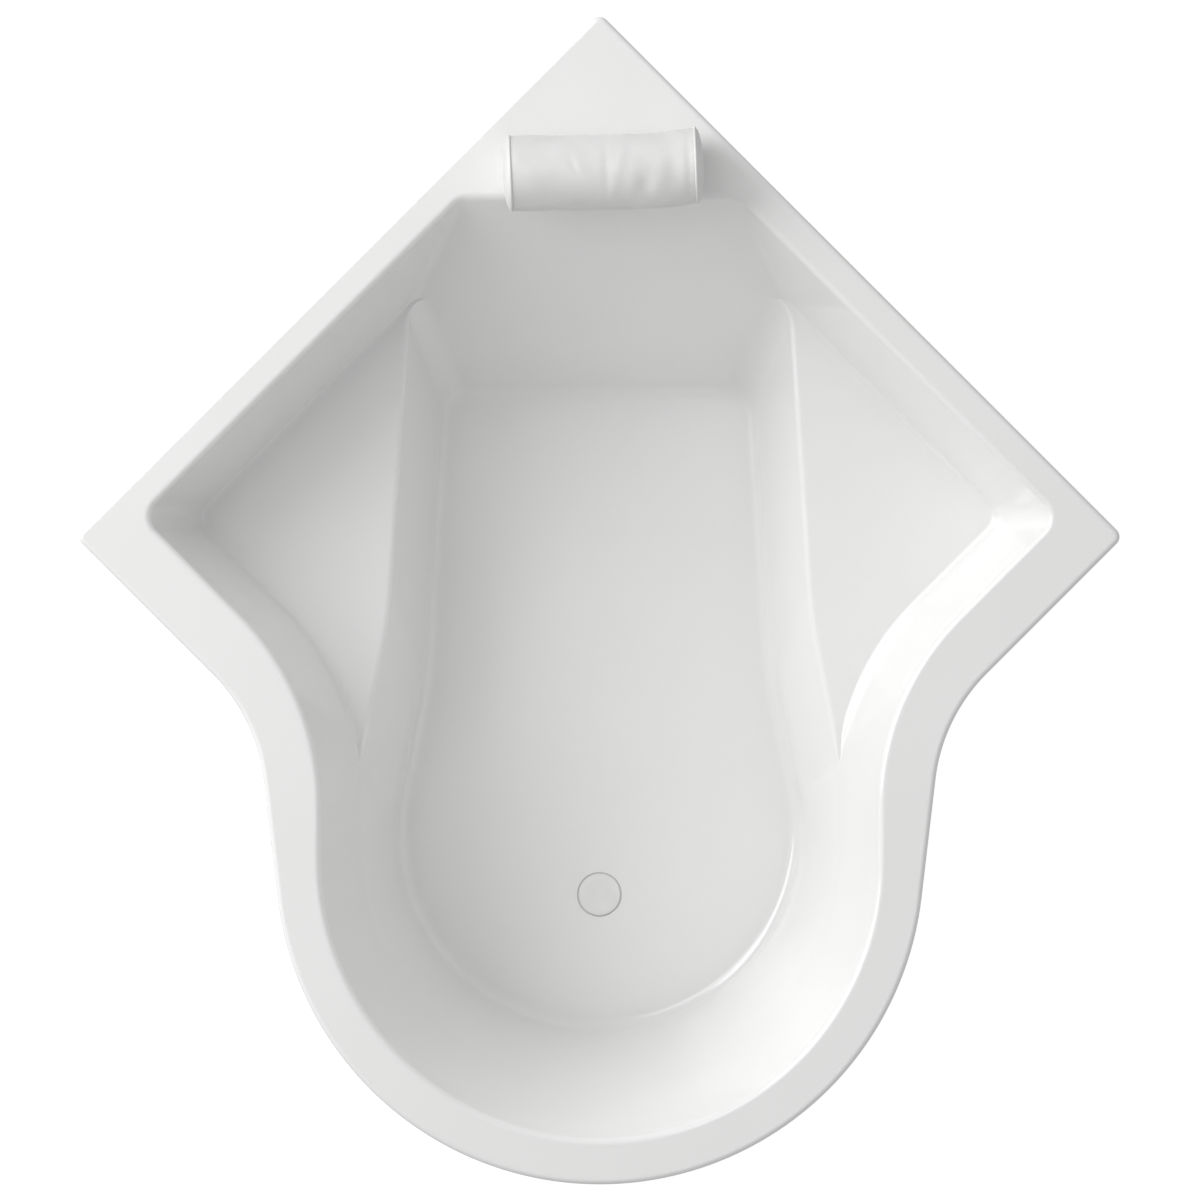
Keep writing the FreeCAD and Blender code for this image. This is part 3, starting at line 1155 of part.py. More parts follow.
def make_pillow():
    """The bolster on the deck: foam core, cover with a waist, piping and round ends."""
    axis_x = "Sizes.pillowAside"
    axis_y = from_corner("Sizes.pillowFromCorner")
    lift = "Sizes.pillowLift"
    axis_z = f"Sizes.rimTop + Sizes.pillowGap + {lift}"
    tilt = Rotation(Vector(0, 0, 1), SIZE["pillowTilt"])

    def lay(solid, along, turn):
        x = f"{axis_x} + ({along}) * cos(Sizes.pillowTilt * 1 deg)"
        y = f"{axis_y} + ({along}) * sin(Sizes.pillowTilt * 1 deg)"
        return place(solid, x=x, y=y, z=axis_z, turn=tilt.multiply(turn))

    def resting(name, solid):
        """Flatten a piece where it lies on the deck."""
        block = box(name + "Rest", "4 * Sizes.pillowHalf", "4 * Sizes.pillowSeam", lift)
        deep_y = f"{axis_y} - 2 * Sizes.pillowSeam"
        place(block, x="-2 * Sizes.pillowHalf", y=deep_y, z=f"{axis_z} - 2 * {lift}")
        return combined("Part::Cut", name, solid, block)

    straight = Rotation()
    on_side = Rotation(Vector(0, 1, 0), 90)
    ends = "(Sizes.pillowHalf - Sizes.pipingSeat)"

    def cover_profile(sketch):
        half = SIZE["pillowHalf"] - SIZE["pipingSeat"]
        seam, waist, swell = SIZE["pillowSeam"], SIZE["pillowWaist"], SIZE["pillowSwell"]
        inner = seam - SIZE["pillowSkin"]
        crown = (seam + waist) / 2 + swell
        radius = f"({ends}^2 / 4 + Sizes.pillowSwell^2) / (2 * Sizes.pillowSwell)"
        corners = [(-half, inner), (-half, seam), (0, waist), (half, seam), (half, inner)]
        crowns = {1: (-half / 2, crown), 2: (half / 2, crown)}
        points = [Vector(x, y, 0) for x, y in corners]
        for number in range(5):
            start, end = points[number], points[(number + 1) % 5]
            if number in crowns:
                bend = Vector(*crowns[number], 0)
                sketch.addGeometry(Part.Arc(start, bend, end))
            else:
                sketch.addGeometry(Part.LineSegment(start, end))
        # an arc laid left to right over its crown runs backwards, from its end to its start
        first = {0: 1, 1: 2, 2: 2, 3: 1, 4: 1}
        last = {0: 2, 1: 1, 2: 1, 3: 2, 4: 2}
        for number in range(5):
            after = (number + 1) % 5
            rule = Sketcher.Constraint("Coincident", number, last[number], after, first[after])
            sketch.addConstraint(rule)
        seam_less = "(Sizes.pillowSeam - Sizes.pillowSkin)"
        sizes = [
            (f"-{ends}", seam_less),
            (f"-{ends}", "Sizes.pillowSeam"),
            ("0", "Sizes.pillowWaist"),
            (ends, "Sizes.pillowSeam"),
            (ends, seam_less),
        ]
        for number, (x, y) in enumerate(sizes):
            for kind, value, now in (
                ("DistanceX", x, corners[number][0]),
                ("DistanceY", y, corners[number][1]),
            ):
                rule = Sketcher.Constraint(kind, -1, 1, number, first[number], now)
                sketch.setExpression(f"Constraints[{sketch.addConstraint(rule)}]", value)
        for number in (1, 2):
            rule = Sketcher.Constraint("Radius", number, sketch.Geometry[number].Radius)
            sketch.setExpression(f"Constraints[{sketch.addConstraint(rule)}]", radius)

    body, sketch = sheet_body("CoverBody", "XZ_Plane", cover_profile)
    skin = body.newObject("PartDesign::Revolution", "CoverTurn")
    skin.Profile = sketch
    skin.ReferenceAxis = (sketch, ["H_Axis"])
    skin.Angle = 360
    piece("pillow_cover", resting("PillowCover", lay(body, "0", straight)))

    reach = "(Sizes.pillowHalf + Sizes.pipingSeat)"
    core_radius = "Sizes.pillowSeam - Sizes.pillowSkin - Sizes.pillowSkinGap"
    core = cylinder("PillowCore", core_radius, f"2 * {reach}")
    piece("pillow_core", lay(core, f"-{reach}", on_side))

    for label, side, flip in (("left", "-", -90), ("right", "", 90)):
        torus = doc.addObject("Part::Torus", f"PipingRing_{label}")
        torus.setExpression("Radius1", "Sizes.pillowSeam - Sizes.pipingSink")
        torus.setExpression("Radius2", "Sizes.pipingRadius")
        lay(torus, f"{side}Sizes.pillowHalf", on_side)
        piece(f"pillow_piping_{label}", resting(f"Piping_{label}", torus))

        def dome(sketch):
            rim, bulge = SIZE["capRadius"], SIZE["capBulge"]
            ball = (rim**2 + bulge**2) / (2 * bulge)
            turn = math.asin(rim / ball) / 2
            middle = Vector(ball * math.sin(turn), bulge - ball + ball * math.cos(turn), 0)
            zero, edge, top = Vector(0, 0, 0), Vector(rim, 0, 0), Vector(0, bulge, 0)
            sketch.addGeometry(Part.LineSegment(zero, edge))
            sketch.addGeometry(Part.Arc(edge, middle, top))
            sketch.addGeometry(Part.LineSegment(top, zero))
            for rule in ((0, 2, 1, 1), (1, 2, 2, 1), (2, 2, 0, 1), (0, 1, -1, 1)):
                sketch.addConstraint(Sketcher.Constraint("Coincident", *rule))
            sketch.addConstraint(Sketcher.Constraint("Horizontal", 0))
            sketch.addConstraint(Sketcher.Constraint("Vertical", 2))
            radius = "(Sizes.capRadius^2 + Sizes.capBulge^2) / (2 * Sizes.capBulge)"
            for rule, value in (
                (Sketcher.Constraint("DistanceX", -1, 1, 0, 2, rim), "Sizes.capRadius"),
                (Sketcher.Constraint("DistanceY", -1, 1, 2, 1, bulge), "Sizes.capBulge"),
                (Sketcher.Constraint("Radius", 1, ball), radius),
            ):
                sketch.setExpression(f"Constraints[{sketch.addConstraint(rule)}]", value)

        cap, cap_sketch = sheet_body(f"EndCap_{label}", "XZ_Plane", dome)
        spun = cap.newObject("PartDesign::Revolution", f"EndCapTurn_{label}")
        spun.Profile = cap_sketch
        spun.ReferenceAxis = (cap_sketch, ["V_Axis"])
        spun.Angle = 360
        facing = Rotation(Vector(0, 1, 0), flip)
        piece(f"pillow_end_{label}", lay(cap, f"{side}{reach}", facing))


make_shell()
make_waste()
make_frame()
make_feet()
make_rim_fixings()
make_apron()
make_pillow()
doc.recompute()

for item in doc.Objects:
    if "Invalid" in item.State or "Error" in item.State:
        raise RuntimeError(f"{item.Name} failed: {item.State}")
for item in PIECES:
    if item.Shape.isNull() or not item.Shape.isValid():
        raise RuntimeError(f"{item.Label} has no valid shape")
    item.Shape.exportStep(f"parts/{item.Label}.step")
print(f"{len(PIECES)} pieces")
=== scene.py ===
import json
import math

import bmesh
import bpy
import numpy as np
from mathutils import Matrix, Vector


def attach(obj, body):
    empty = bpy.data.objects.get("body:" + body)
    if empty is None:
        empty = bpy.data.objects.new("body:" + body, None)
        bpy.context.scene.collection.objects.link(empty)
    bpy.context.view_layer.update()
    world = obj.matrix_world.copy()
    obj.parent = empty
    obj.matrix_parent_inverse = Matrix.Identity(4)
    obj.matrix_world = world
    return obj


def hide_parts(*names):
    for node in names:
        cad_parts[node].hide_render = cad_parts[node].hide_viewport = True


# Looks of a white acrylic corner bath. Outlines and sizes are in millimetres, and meshes are
# made in metres.

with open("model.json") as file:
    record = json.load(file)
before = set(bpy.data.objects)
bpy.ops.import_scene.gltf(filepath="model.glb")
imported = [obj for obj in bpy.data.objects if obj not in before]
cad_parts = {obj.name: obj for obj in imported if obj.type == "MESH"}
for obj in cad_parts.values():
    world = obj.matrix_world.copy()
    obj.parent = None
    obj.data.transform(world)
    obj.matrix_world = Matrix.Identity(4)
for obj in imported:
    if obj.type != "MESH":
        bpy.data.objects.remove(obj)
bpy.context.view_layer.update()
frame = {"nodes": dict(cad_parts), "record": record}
MM = 0.001
ROOT2 = math.sqrt(2)

# ---------------------------------------------------------------- sizes of the moulded shell

WALL_SIDE = 1200.0
CORNER_RADIUS = 16.0
NECK_ANGLE = 6.7
NECK_RADIUS = 290.0
BULB_CENTRE = 1372.0
BULB_RADIUS = 525.0
RIM_TOP = 600.0
WELL_DEPTH = 450.0
SHELF_DEPTH = 231.0
LIP_DROP = 45.0
LIP_THICK = 7.0
SHELL_THICK = 8.0
RIM_ROUND = 8.0
MOUTH_ROUND = 11.0
SHELF_ROUND = 14.0
EDGE_ROUND = 9.0
FLOOR_ROUND = 22.0
WALL_RIM = 52.0
FRONT_RIM = 98.0
LEDGE_FROM_CORNER = 299.0
MOUTH_HALF = 453.0
LEDGE_RADIUS = 32.0
WING_RADIUS = 34.0
HOLLOW_RADIUS = 437.0
WING_SLOPE = 59.0
BACK_RUN = 314.0
SHELF_NECK_HALF = 388.0
SHELF_BULB_SHIFT = 23.0
WELL_BACK_HALF = 309.0
WELL_CORNER = 34.0
SIDE_ANGLE = 3.75
FLARE_ANGLE = 11.5
FLARE_RADIUS = 800.0
FLARE_SHELF = 981.0
FLOOR_BACK_HALF = 250.0
FLOOR_CORNER = 42.0
FLOOR_BULB_SHIFT = 45.0
FLOOR_BULB_RADIUS = 324.0
DRAIN_FROM_CORNER = 1433.0
RECESS_DIAMETER = 72.0
RECESS_DEPTH = 4.0
DRAIN_HOLE = 54.0
DISC_BOTTOM = 149.5
DISC_RADIUS = 33.6
DISC_ROUND = 1.0
DISC_BOSS_RADIUS = 8
DISC_BOSS_HEIGHT = 10

CORNER_Y = (BULB_CENTRE + BULB_RADIUS + CORNER_RADIUS * (ROOT2 - 1)) / 2
TIP_X = WALL_SIDE / ROOT2
SHELF_LEVEL = RIM_TOP - SHELF_DEPTH
FLOOR_LEVEL = RIM_TOP - WELL_DEPTH
DRAIN_Y = CORNER_Y - DRAIN_FROM_CORNER


# ---------------------------------------------------------------- outlines of the right half


def heading(angle):
    """Unit vector at so many degrees from +X."""
    return Vector((math.cos(math.radians(angle)), math.sin(math.radians(angle))))


def crossing(point_a, along_a, point_b, along_b):
    """Where two straight lines meet in plan."""
    gap = point_b - point_a
    turn = along_a.x * along_b.y - along_a.y * along_b.x
    return point_a + along_a * ((gap.x * along_b.y - gap.y * along_b.x) / turn)


def rounded(before, corner, after, radius):
    """Start, middle and end of the arc that rounds a corner between two lines."""
    back = (before - corner).normalized()
    ahead = (after - corner).normalized()
    half = back.angle(ahead) / 2
    reach = radius / math.tan(half)
    centre = corner + (back + ahead).normalized() * (radius / math.sin(half))
    middle = centre + (corner - centre).normalized() * radius
    return corner + back * reach, middle, corner + ahead * reach


def arc_centre(arc):
    """Centre of the circle through three points."""
    a, b, c = arc
    twice = 2 * (a.x * (b.y - c.y) + b.x * (c.y - a.y) + c.x * (a.y - b.y))
    aa, bb, cc = a.length_squared, b.length_squared, c.length_squared
    x = (aa * (b.y - c.y) + bb * (c.y - a.y) + cc * (a.y - b.y)) / twice
    y = (aa * (c.x - b.x) + bb * (a.x - c.x) + cc * (b.x - a.x)) / twice
    return Vector((x, y))


def turn_between(start, end):
    """Signed angle from one vector to another, in radians."""
    return math.atan2(start.x * end.y - start.y * end.x, start.dot(end))


def along(piece, first, last, count):
    """Points from one share of a line or arc to another, without the last one."""
    shares = [first + (last - first) * k / count for k in range(count)]
    if len(piece) == 2:
        return [piece[0].lerp(piece[1], share) for share in shares]
    centre = arc_centre(piece)
    start = piece[0] - centre
    sweep = turn_between(start, piece[1] - centre) + turn_between(
        piece[1] - centre, piece[2] - centre
    )
    points = []
    for share in shares:
        cosine, sine = math.cos(sweep * share), math.sin(sweep * share)
        x = start.x * cosine - start.y * sine
        y = start.x * sine + start.y * cosine
        points.append(centre + Vector((x, y)))
    return points


def joined(before, arcs):
    """Lines and arcs in turn, from a point through each arc to the end of the last one."""
    chain = []
    last = before
    for arc in arcs:
        chain.append((last, arc[0]))
        chain.append(tuple(arc))
        last = arc[2]
    return chain


def mouth_pieces(share, grow=0.0):
    """Right half of the mouth's outline at the rim (share 0) or of its walls at the shelf."""
    wall_rim = WALL_RIM + share * WING_SLOPE - grow
    front_rim = FRONT_RIM + share * WING_SLOPE - grow
    half = (1 - share) * MOUTH_HALF + share * SHELF_NECK_HALF + grow
    back = CORNER_Y - LEDGE_FROM_CORNER + grow
    back -= share * BACK_RUN * SHELF_DEPTH / WELL_DEPTH
    wall_sum = CORNER_Y - wall_rim * ROOT2
    front_sum = 2 * TIP_X - CORNER_Y - front_rim * ROOT2
    ledge_end = Vector((wall_sum - back, back))
    wing_tip = Vector(((wall_sum + front_sum) / 2, (wall_sum - front_sum) / 2))
    turn = Vector((half, half - front_sum))
    centre = Vector((0, CORNER_Y - BULB_CENTRE + share * SHELF_BULB_SHIFT))
    waist = centre + Vector((half, 0))
    start = Vector((0, back))
    arcs = [
        rounded(start, ledge_end, wing_tip, LEDGE_RADIUS + grow),
        rounded(ledge_end, wing_tip, turn, WING_RADIUS + grow),
        rounded(wing_tip, turn, waist, HOLLOW_RADIUS - grow),
    ]
    bulb = (waist, centre + heading(-45) * half, centre - Vector((0, half)))
    return joined(start, arcs) + [(arcs[2][2], waist), bulb]


def well_pieces(grow=0.0):
    """Right half of the well's outline at shelf level."""
    walls = mouth_pieces(1, grow)
    hollow, neck, bulb = walls[5], walls[6], walls[7]
    start = walls[0][0]
    corner = Vector((WELL_BACK_HALF + grow, start.y))
    side = heading(-90 + SIDE_ANGLE)
    flare = heading(-90 + FLARE_ANGLE)
    turn = crossing(corner, side, Vector((0, CORNER_Y - FLARE_SHELF)), Vector((1, 0)))
    centre = arc_centre(hollow)
    offset = turn + flare * (centre - turn).dot(flare)
    drop = (centre - offset).length
    tip = offset + flare * -math.sqrt((HOLLOW_RADIUS - grow) ** 2 - drop**2)
    first = rounded(start, corner, turn, WELL_CORNER + grow)
    blend = rounded(corner, turn, tip, FLARE_RADIUS - grow)
    inward = (tip - centre).normalized() + (hollow[2] - centre).normalized()
    middle = centre + inward.normalized() * (HOLLOW_RADIUS - grow)
    chain = joined(start, [first, blend])
    return chain + [(blend[2], tip), (tip, middle, hollow[2]), neck, bulb]


def floor_pieces(grow=0.0, rise=0.0):
    """Right half of the well's outline so far above its floor, in as many pieces."""
    share = rise / (WELL_DEPTH - SHELF_DEPTH)

    def between(low, high):
        return low + share * (high - low)

    back = CORNER_Y - LEDGE_FROM_CORNER - BACK_RUN + grow + rise * BACK_RUN / WELL_DEPTH
    shift = between(FLOOR_BULB_SHIFT, SHELF_BULB_SHIFT)
    centre = Vector((0, CORNER_Y - BULB_CENTRE + shift))
    radius = between(FLOOR_BULB_RADIUS, SHELF_NECK_HALF) + grow
    side = heading(-90 + SIDE_ANGLE)
    flare = heading(-90 + FLARE_ANGLE)
    touch = centre + heading(FLARE_ANGLE) * radius
    start = Vector((0, back))
    corner = Vector((between(FLOOR_BACK_HALF, WELL_BACK_HALF) + grow, back))
    turn = crossing(corner, side, touch, flare)
    steps = [centre + heading(FLARE_ANGLE * k / 4) * radius for k in range(5)]
    first = rounded(start, corner, turn, FLOOR_CORNER + grow)
    blend = rounded(corner, turn, touch, FLARE_RADIUS - grow)
    bulb = (steps[0], centre + heading(-45) * radius, centre - Vector((0, radius)))
    chain = joined(start, [first, blend])
    chain += [(blend[2], touch), (steps[4], steps[3], steps[2]), (steps[2], steps[1], steps[0])]
    return chain + [bulb]


def rim_pieces(inset):
    """Right half of the outer outline, moved inwards by inset."""
    corner = Vector((0, CORNER_Y - inset * ROOT2))
    tip = Vector((TIP_X - inset * ROOT2, CORNER_Y - TIP_X))
    centre = Vector((0, CORNER_Y - BULB_CENTRE))
    radius = BULB_RADIUS - inset
    touch = centre + heading(-NECK_ANGLE) * radius
    turn = crossing(tip, heading(-135), touch, heading(-90 - NECK_ANGLE))
    small = max(CORNER_RADIUS - inset, 1.0)
    top = rounded(Vector((-tip.x, tip.y)), corner, tip, small)
    middle = arc_centre(top) + heading(67.5) * small
    arcs = [
        rounded(corner, tip, turn, small),
        rounded(tip, turn, touch, NECK_RADIUS + inset),
    ]
    chain = [(top[1], middle, top[2])] + joined(top[2], arcs) + [(arcs[1][2], touch)]
    bend = centre + heading(-45 - NECK_ANGLE / 2) * radius
    return chain + [(touch, bend, centre - Vector((0, radius)))]


# ---------------------------------------------------------------- matched points on them

# how many points each stretch of the right half has, the same on every outline
BACK, LEDGE, WALL, WING, FRONT, HOLLOW, END_OF_HOLLOW, NECK, BULB = (
    20, 14, 48, 16, 20, 30, 16, 10, 50,
)
FLARE_ARC, FLARE_LINE = 18, 18
SIDE = WALL + WING + FRONT + HOLLOW - FLARE_ARC - FLARE_LINE
# share of the wall side at which the ledge's points end on the outer outline
WALL_SPLIT = 0.307
# width over which coves and edges fade out where the well meets the walls
FADE = 32
# steps over each small rounding
FINE = 8


def tip_share(grow):
    """Where on the hollow arc of the mouth's walls the shelf ends in a tip."""
    hollow = mouth_pieces(1, grow)[5]
    tip = well_pieces(grow)[5][0]
    centre = arc_centre(hollow)
    whole = turn_between(hollow[0] - centre, hollow[2] - centre)
    return turn_between(hollow[0] - centre, tip - centre) / whole


def mouth_run(share, grow=0.0):
    """Matched points on the outline of the mouth or its walls."""
    back, ledge, wall, wing, front, hollow, neck, bulb = mouth_pieces(share, grow)
    common = well_pieces(grow)[0][1].x / mouth_pieces(1, grow)[0][1].x
    tip = tip_share(grow)
    points = along(back, 0, common, BACK) + along(back, common, 1, 4)
    points += along(ledge, 0, 1, LEDGE - 4) + along(wall, 0, 1, WALL)
    points += along(wing, 0, 1, WING) + along(front, 0, 1, FRONT)
    points += along(hollow, 0, tip, HOLLOW) + along(hollow, tip, 1, END_OF_HOLLOW)
    points += along(neck, 0, 1, NECK) + along(bulb, 0, 1, BULB)
    return points + [bulb[-1]]


def lower_run(pieces):
    """Matched points on the well's outline at any level."""
    counts = (BACK, LEDGE, SIDE, FLARE_ARC, FLARE_LINE, END_OF_HOLLOW, NECK, BULB)
    points = []
    for piece, count in zip(pieces, counts):
        points += along(piece, 0, 1, count)
    return points + [pieces[-1][-1]]


def rim_run(inset):
    """Matched points on the outer outline."""
    top, wall, tip, front, hollow, neck, bulb = rim_pieces(inset)
    arc = 6
    points = along(top, 0, 1, arc) + along(wall, 0, WALL_SPLIT, BACK + LEDGE - arc)
    points += along(wall, WALL_SPLIT, 1, WALL) + along(tip, 0, 1, WING)
    points += along(front, 0, 1, FRONT) + along(hollow, 0, 1, HOLLOW + END_OF_HOLLOW)
    points += along(neck, 0, 1, NECK) + along(bulb, 0, 1, BULB)
    return points + [bulb[-1]]


def plan(points):
    """Points of a half outline as an array."""
    return np.array([(p.x, p.y) for p in points])


def ring(points, level):
    """The closed outline at one height, from its right half."""
    height = np.full(len(points), float(level))
    right = np.column_stack([points, height])
    left = right[-2:0:-1] * np.array([-1, 1, 1])
    return np.vstack([right, left])


def bead(radius, slope, count):
    """Rounding between a level face and a wall: height from the face and distance from the wall."""
    turn = math.pi / 2 - slope
    reach = radius * math.tan(turn / 2)
    steps = []
    for k in range(count + 1):
        angle = turn * k / count
        height = radius * (1 - math.cos(angle))
        steps.append((height, reach - radius * math.sin(angle) + height * math.tan(slope)))
    return steps


def clearance(points, others):
    """Distance of each point from a polyline."""
    start, step = others[:-1], others[1:] - others[:-1]
    length = np.maximum((step**2).sum(1), 1e-9)
    gap = points[:, None, :] - start[None]
    share = np.clip((gap * step[None]).sum(2) / length[None], 0, 1)
    nearest = start[None] + share[..., None] * step[None]
    return np.sqrt(((points[:, None, :] - nearest) ** 2).sum(2)).min(1)


def smooth_step(value):
    """Smooth rise from 0 to 1."""
    value = np.clip(value, 0, 1)
    return value * value * (3 - 2 * value)


# ---------------------------------------------------------------- meshes


def new_object(name, verts, faces, body, smooth=35, marks=None):
    """A mesh object in the frame that rides on a body, smooth apart from its sharp edges.

    Marks give the number of the material of each face.
    """
    mesh = bpy.data.meshes.new(name)
    mesh.from_pydata([tuple(v) for v in verts], [], faces)
    if marks is not None:
        mesh.polygons.foreach_set("material_index", marks)
    work = bmesh.new()
    work.from_mesh(mesh)
    bmesh.ops.remove_doubles(work, verts=work.verts, dist=2e-6)
    bmesh.ops.recalc_face_normals(work, faces=work.faces)
    work.to_mesh(mesh)
    work.free()
    mesh.polygons.foreach_set("use_smooth", [True] * len(mesh.polygons))
    mesh.set_sharp_from_angle(angle=math.radians(smooth))
    piece = bpy.data.objects.new(name, mesh)
    bpy.context.scene.collection.objects.link(piece)
    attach(piece, body)
    return piece


def skin(rings, wrap=False):
    """Vertices and faces of a surface through closed rings with as many points each."""
    count = len(rings[0])
    verts = np.vstack(rings)
    faces = []
    spans = len(rings) if wrap else len(rings) - 1
    for r in range(spans):
        low, high = r * count, ((r + 1) % len(rings)) * count
        for k in range(count):
            after = (k + 1) % count
            faces.append((low + k, low + after, high + after, high + k))
    return verts, faces


def lathe(name, profile, centre, body, segments=128, smooth=30):
    """A turned piece from a closed profile of radius and height, in millimetres."""
    angles = np.linspace(0, 2 * math.pi, segments, endpoint=False)
    circle = np.column_stack([np.cos(angles), np.sin(angles)])
    rings = []
    for radius, height in profile:
        flat = circle * max(radius, 0.0005) + np.array(centre)
        rings.append(np.column_stack([flat, np.full(segments, height)]) * MM)
    verts, faces = skin(rings, wrap=True)
    return new_object(name, verts, faces, body, smooth)


def shell_rings():
    """Every ring of the shell, from the lip over the deck to the waste, then back below."""
    rings = []
    wing_slope = math.atan(WING_SLOPE / SHELF_DEPTH)

    # lip, its rounded upper edge and the deck
    lip_bottom = RIM_TOP - LIP_DROP
    for inset, level in ((1.0, lip_bottom), (0.3, lip_bottom + 0.3), (0.0, lip_bottom + 1)):
        rings.append(ring(plan(rim_run(inset)), level))
    side = plan(rim_run(0))
    rings.append(ring(side, RIM_TOP - RIM_ROUND - 1.5))
    for k in range(FINE + 1):
        angle = math.pi / 2 * k / FINE
        inset = RIM_ROUND * (1 - math.cos(angle))
        level = RIM_TOP - RIM_ROUND * (1 - math.sin(angle))
        rings.append(ring(plan(rim_run(inset)), level))
    outer = plan(rim_run(RIM_ROUND + 1.5))
    lip = bead(MOUTH_ROUND, wing_slope, FINE)
    inner = plan(mouth_run(0, lip[0][1] + 1.5))
    for k in range(6):
        rings.append(ring(outer + (inner - outer) * k / 5, RIM_TOP))

    # rounded mouth and the walls down to the shelves
    for drop, grow in lip:
        rings.append(ring(plan(mouth_run(drop / SHELF_DEPTH, grow)), RIM_TOP - drop))
    walls = plan(mouth_run(1))
    well = plan(lower_run(well_pieces()))
    cove_share = smooth_step(clearance(walls, well) / FADE)[:, None]
    edge_share = smooth_step(clearance(well, walls) / FADE)[:, None]
    cove = bead(SHELF_ROUND, wing_slope, FINE)
    first, last = lip[-1][0] + 3, SHELF_DEPTH - cove[-1][0] - 2
    for k in range(9):
        drop = first + (last - first) * k / 8
        rings.append(ring(plan(mouth_run(drop / SHELF_DEPTH)), RIM_TOP - drop))
    for rise, reach in reversed(cove):
        share = 1 - rise / SHELF_DEPTH
        wall = plan(mouth_run(share))
        inside = plan(mouth_run(share, -reach))
        rings.append(ring(wall + (inside - wall) * cove_share, SHELF_LEVEL + rise))

    # flat shelves and the rounded edge of the well
    edge = bead(EDGE_ROUND, wing_slope, FINE)
    around = plan(lower_run(well_pieces(edge[0][1])))
    shelf_out = walls + (plan(mouth_run(1, -cove[0][1])) - walls) * cove_share
    shelf_in = well + (around - well) * edge_share
    for share in (0.02, 0.2, 0.4, 0.6, 0.8, 0.98):
        rings.append(ring(shelf_out + (shelf_in - shelf_out) * share, SHELF_LEVEL))
    knee_rise = 2 * FLOOR_ROUND
    knee = plan(lower_run(floor_pieces(0, knee_rise)))
    depth = SHELF_LEVEL - FLOOR_LEVEL - knee_rise

    def lower_wall(drop):
        return well + (knee - well) * (drop / depth)

    for drop, grow in edge:
        outside = plan(lower_run(well_pieces(grow)))
        shift = (outside - well) * edge_share
        rings.append(ring(lower_wall(drop) + shift, SHELF_LEVEL - drop))
    for k in range(8):
        drop = edge[-1][0] + 3 + (depth - edge[-1][0] - 3) * k / 7
        rings.append(ring(lower_wall(drop), SHELF_LEVEL - drop))

    # hollow rounding of the floor, the floor and the recess of the waste
    bottom = bead(FLOOR_ROUND, wing_slope, 10)
    middle = (knee_rise + bottom[-1][0]) / 2
    rings.append(ring(plan(lower_run(floor_pieces(0, middle))), FLOOR_LEVEL + middle))
    for rise, reach in reversed(bottom):
        rings.append(ring(plan(lower_run(floor_pieces(-reach, rise))), FLOOR_LEVEL + rise))
    floor = plan(lower_run(floor_pieces(-bottom[0][1] - 2)))
    centre = np.array([0, DRAIN_Y])
    spoke = floor - centre
    spoke = spoke / np.linalg.norm(spoke, axis=1)[:, None]
    recess = RECESS_DIAMETER / 2
    soft = 1.2
    brim = centre + spoke * (recess + soft)
    for share in (0, 0.25, 0.5, 0.75, 0.93):
        rings.append(ring(floor + (brim - floor) * share, FLOOR_LEVEL))
    for k in range(5):
        angle = math.pi / 2 * k / 4
        radius = recess + soft * (1 - math.sin(angle))
        rings.append(ring(centre + spoke * radius, FLOOR_LEVEL - soft * (1 - math.cos(angle))))
    low = FLOOR_LEVEL - RECESS_DEPTH
    for radius, level in (
        (recess, low + 0.6),
        (recess - 0.6, low),
        (DRAIN_HOLE / 2 + 0.4, low),
        (DRAIN_HOLE / 2, low - 0.4),
        (DRAIN_HOLE / 2, FLOOR_LEVEL - SHELL_THICK),
    ):
        rings.append(ring(centre + spoke * radius, level))

    # the underside, offset by the thickness of the shell
    thick = SHELL_THICK
    below = plan(lower_run(floor_pieces(thick)))
    hole = centre + spoke * (DRAIN_HOLE / 2)
    for share in (0.3, 0.6, 1.0):
        rings.append(ring(hole + (below - hole) * share, FLOOR_LEVEL - thick))
    well_below = plan(lower_run(well_pieces(thick)))
    walls_below = plan(mouth_run(1, thick))
    for share in (0.33, 0.67, 1.0):
        level = FLOOR_LEVEL + share * (SHELF_LEVEL - FLOOR_LEVEL) - thick
        rings.append(ring(below + (well_below - below) * share, level))
    for share in (0.5, 1.0):
        between = well_below + (walls_below - well_below) * share
        rings.append(ring(between, SHELF_LEVEL - thick))
    mouth_below = plan(mouth_run(0, thick))
    for share in (0.33, 0.67, 1.0):
        level = SHELF_LEVEL - thick + share * SHELF_DEPTH
        rings.append(ring(walls_below + (mouth_below - walls_below) * share, level))
    under_lip = plan(rim_run(LIP_THICK))
    for share in (0.5, 1.0):
        rings.append(ring(mouth_below + (under_lip - mouth_below) * share, RIM_TOP - thick))
    rings.append(ring(under_lip, lip_bottom + 0.5))
    rings.append(ring(plan(rim_run(LIP_THICK - 0.5)), lip_bottom))
    return [points * MM for points in rings]


# ---------------------------------------------------------------- materials


def material(name, colour, roughness, **sockets):
    """A Principled material with its plain values set on its own sockets."""
    made = bpy.data.materials.new(name)
    made.use_nodes = True
    shader = made.node_tree.nodes["Principled BSDF"]
    shader.inputs["Base Color"].default_value = (*colour, 1)
    shader.inputs["Roughness"].default_value = roughness
    for socket, value in sockets.items():
        shader.inputs[socket.replace("_", " ")].default_value = value
    return made, shader


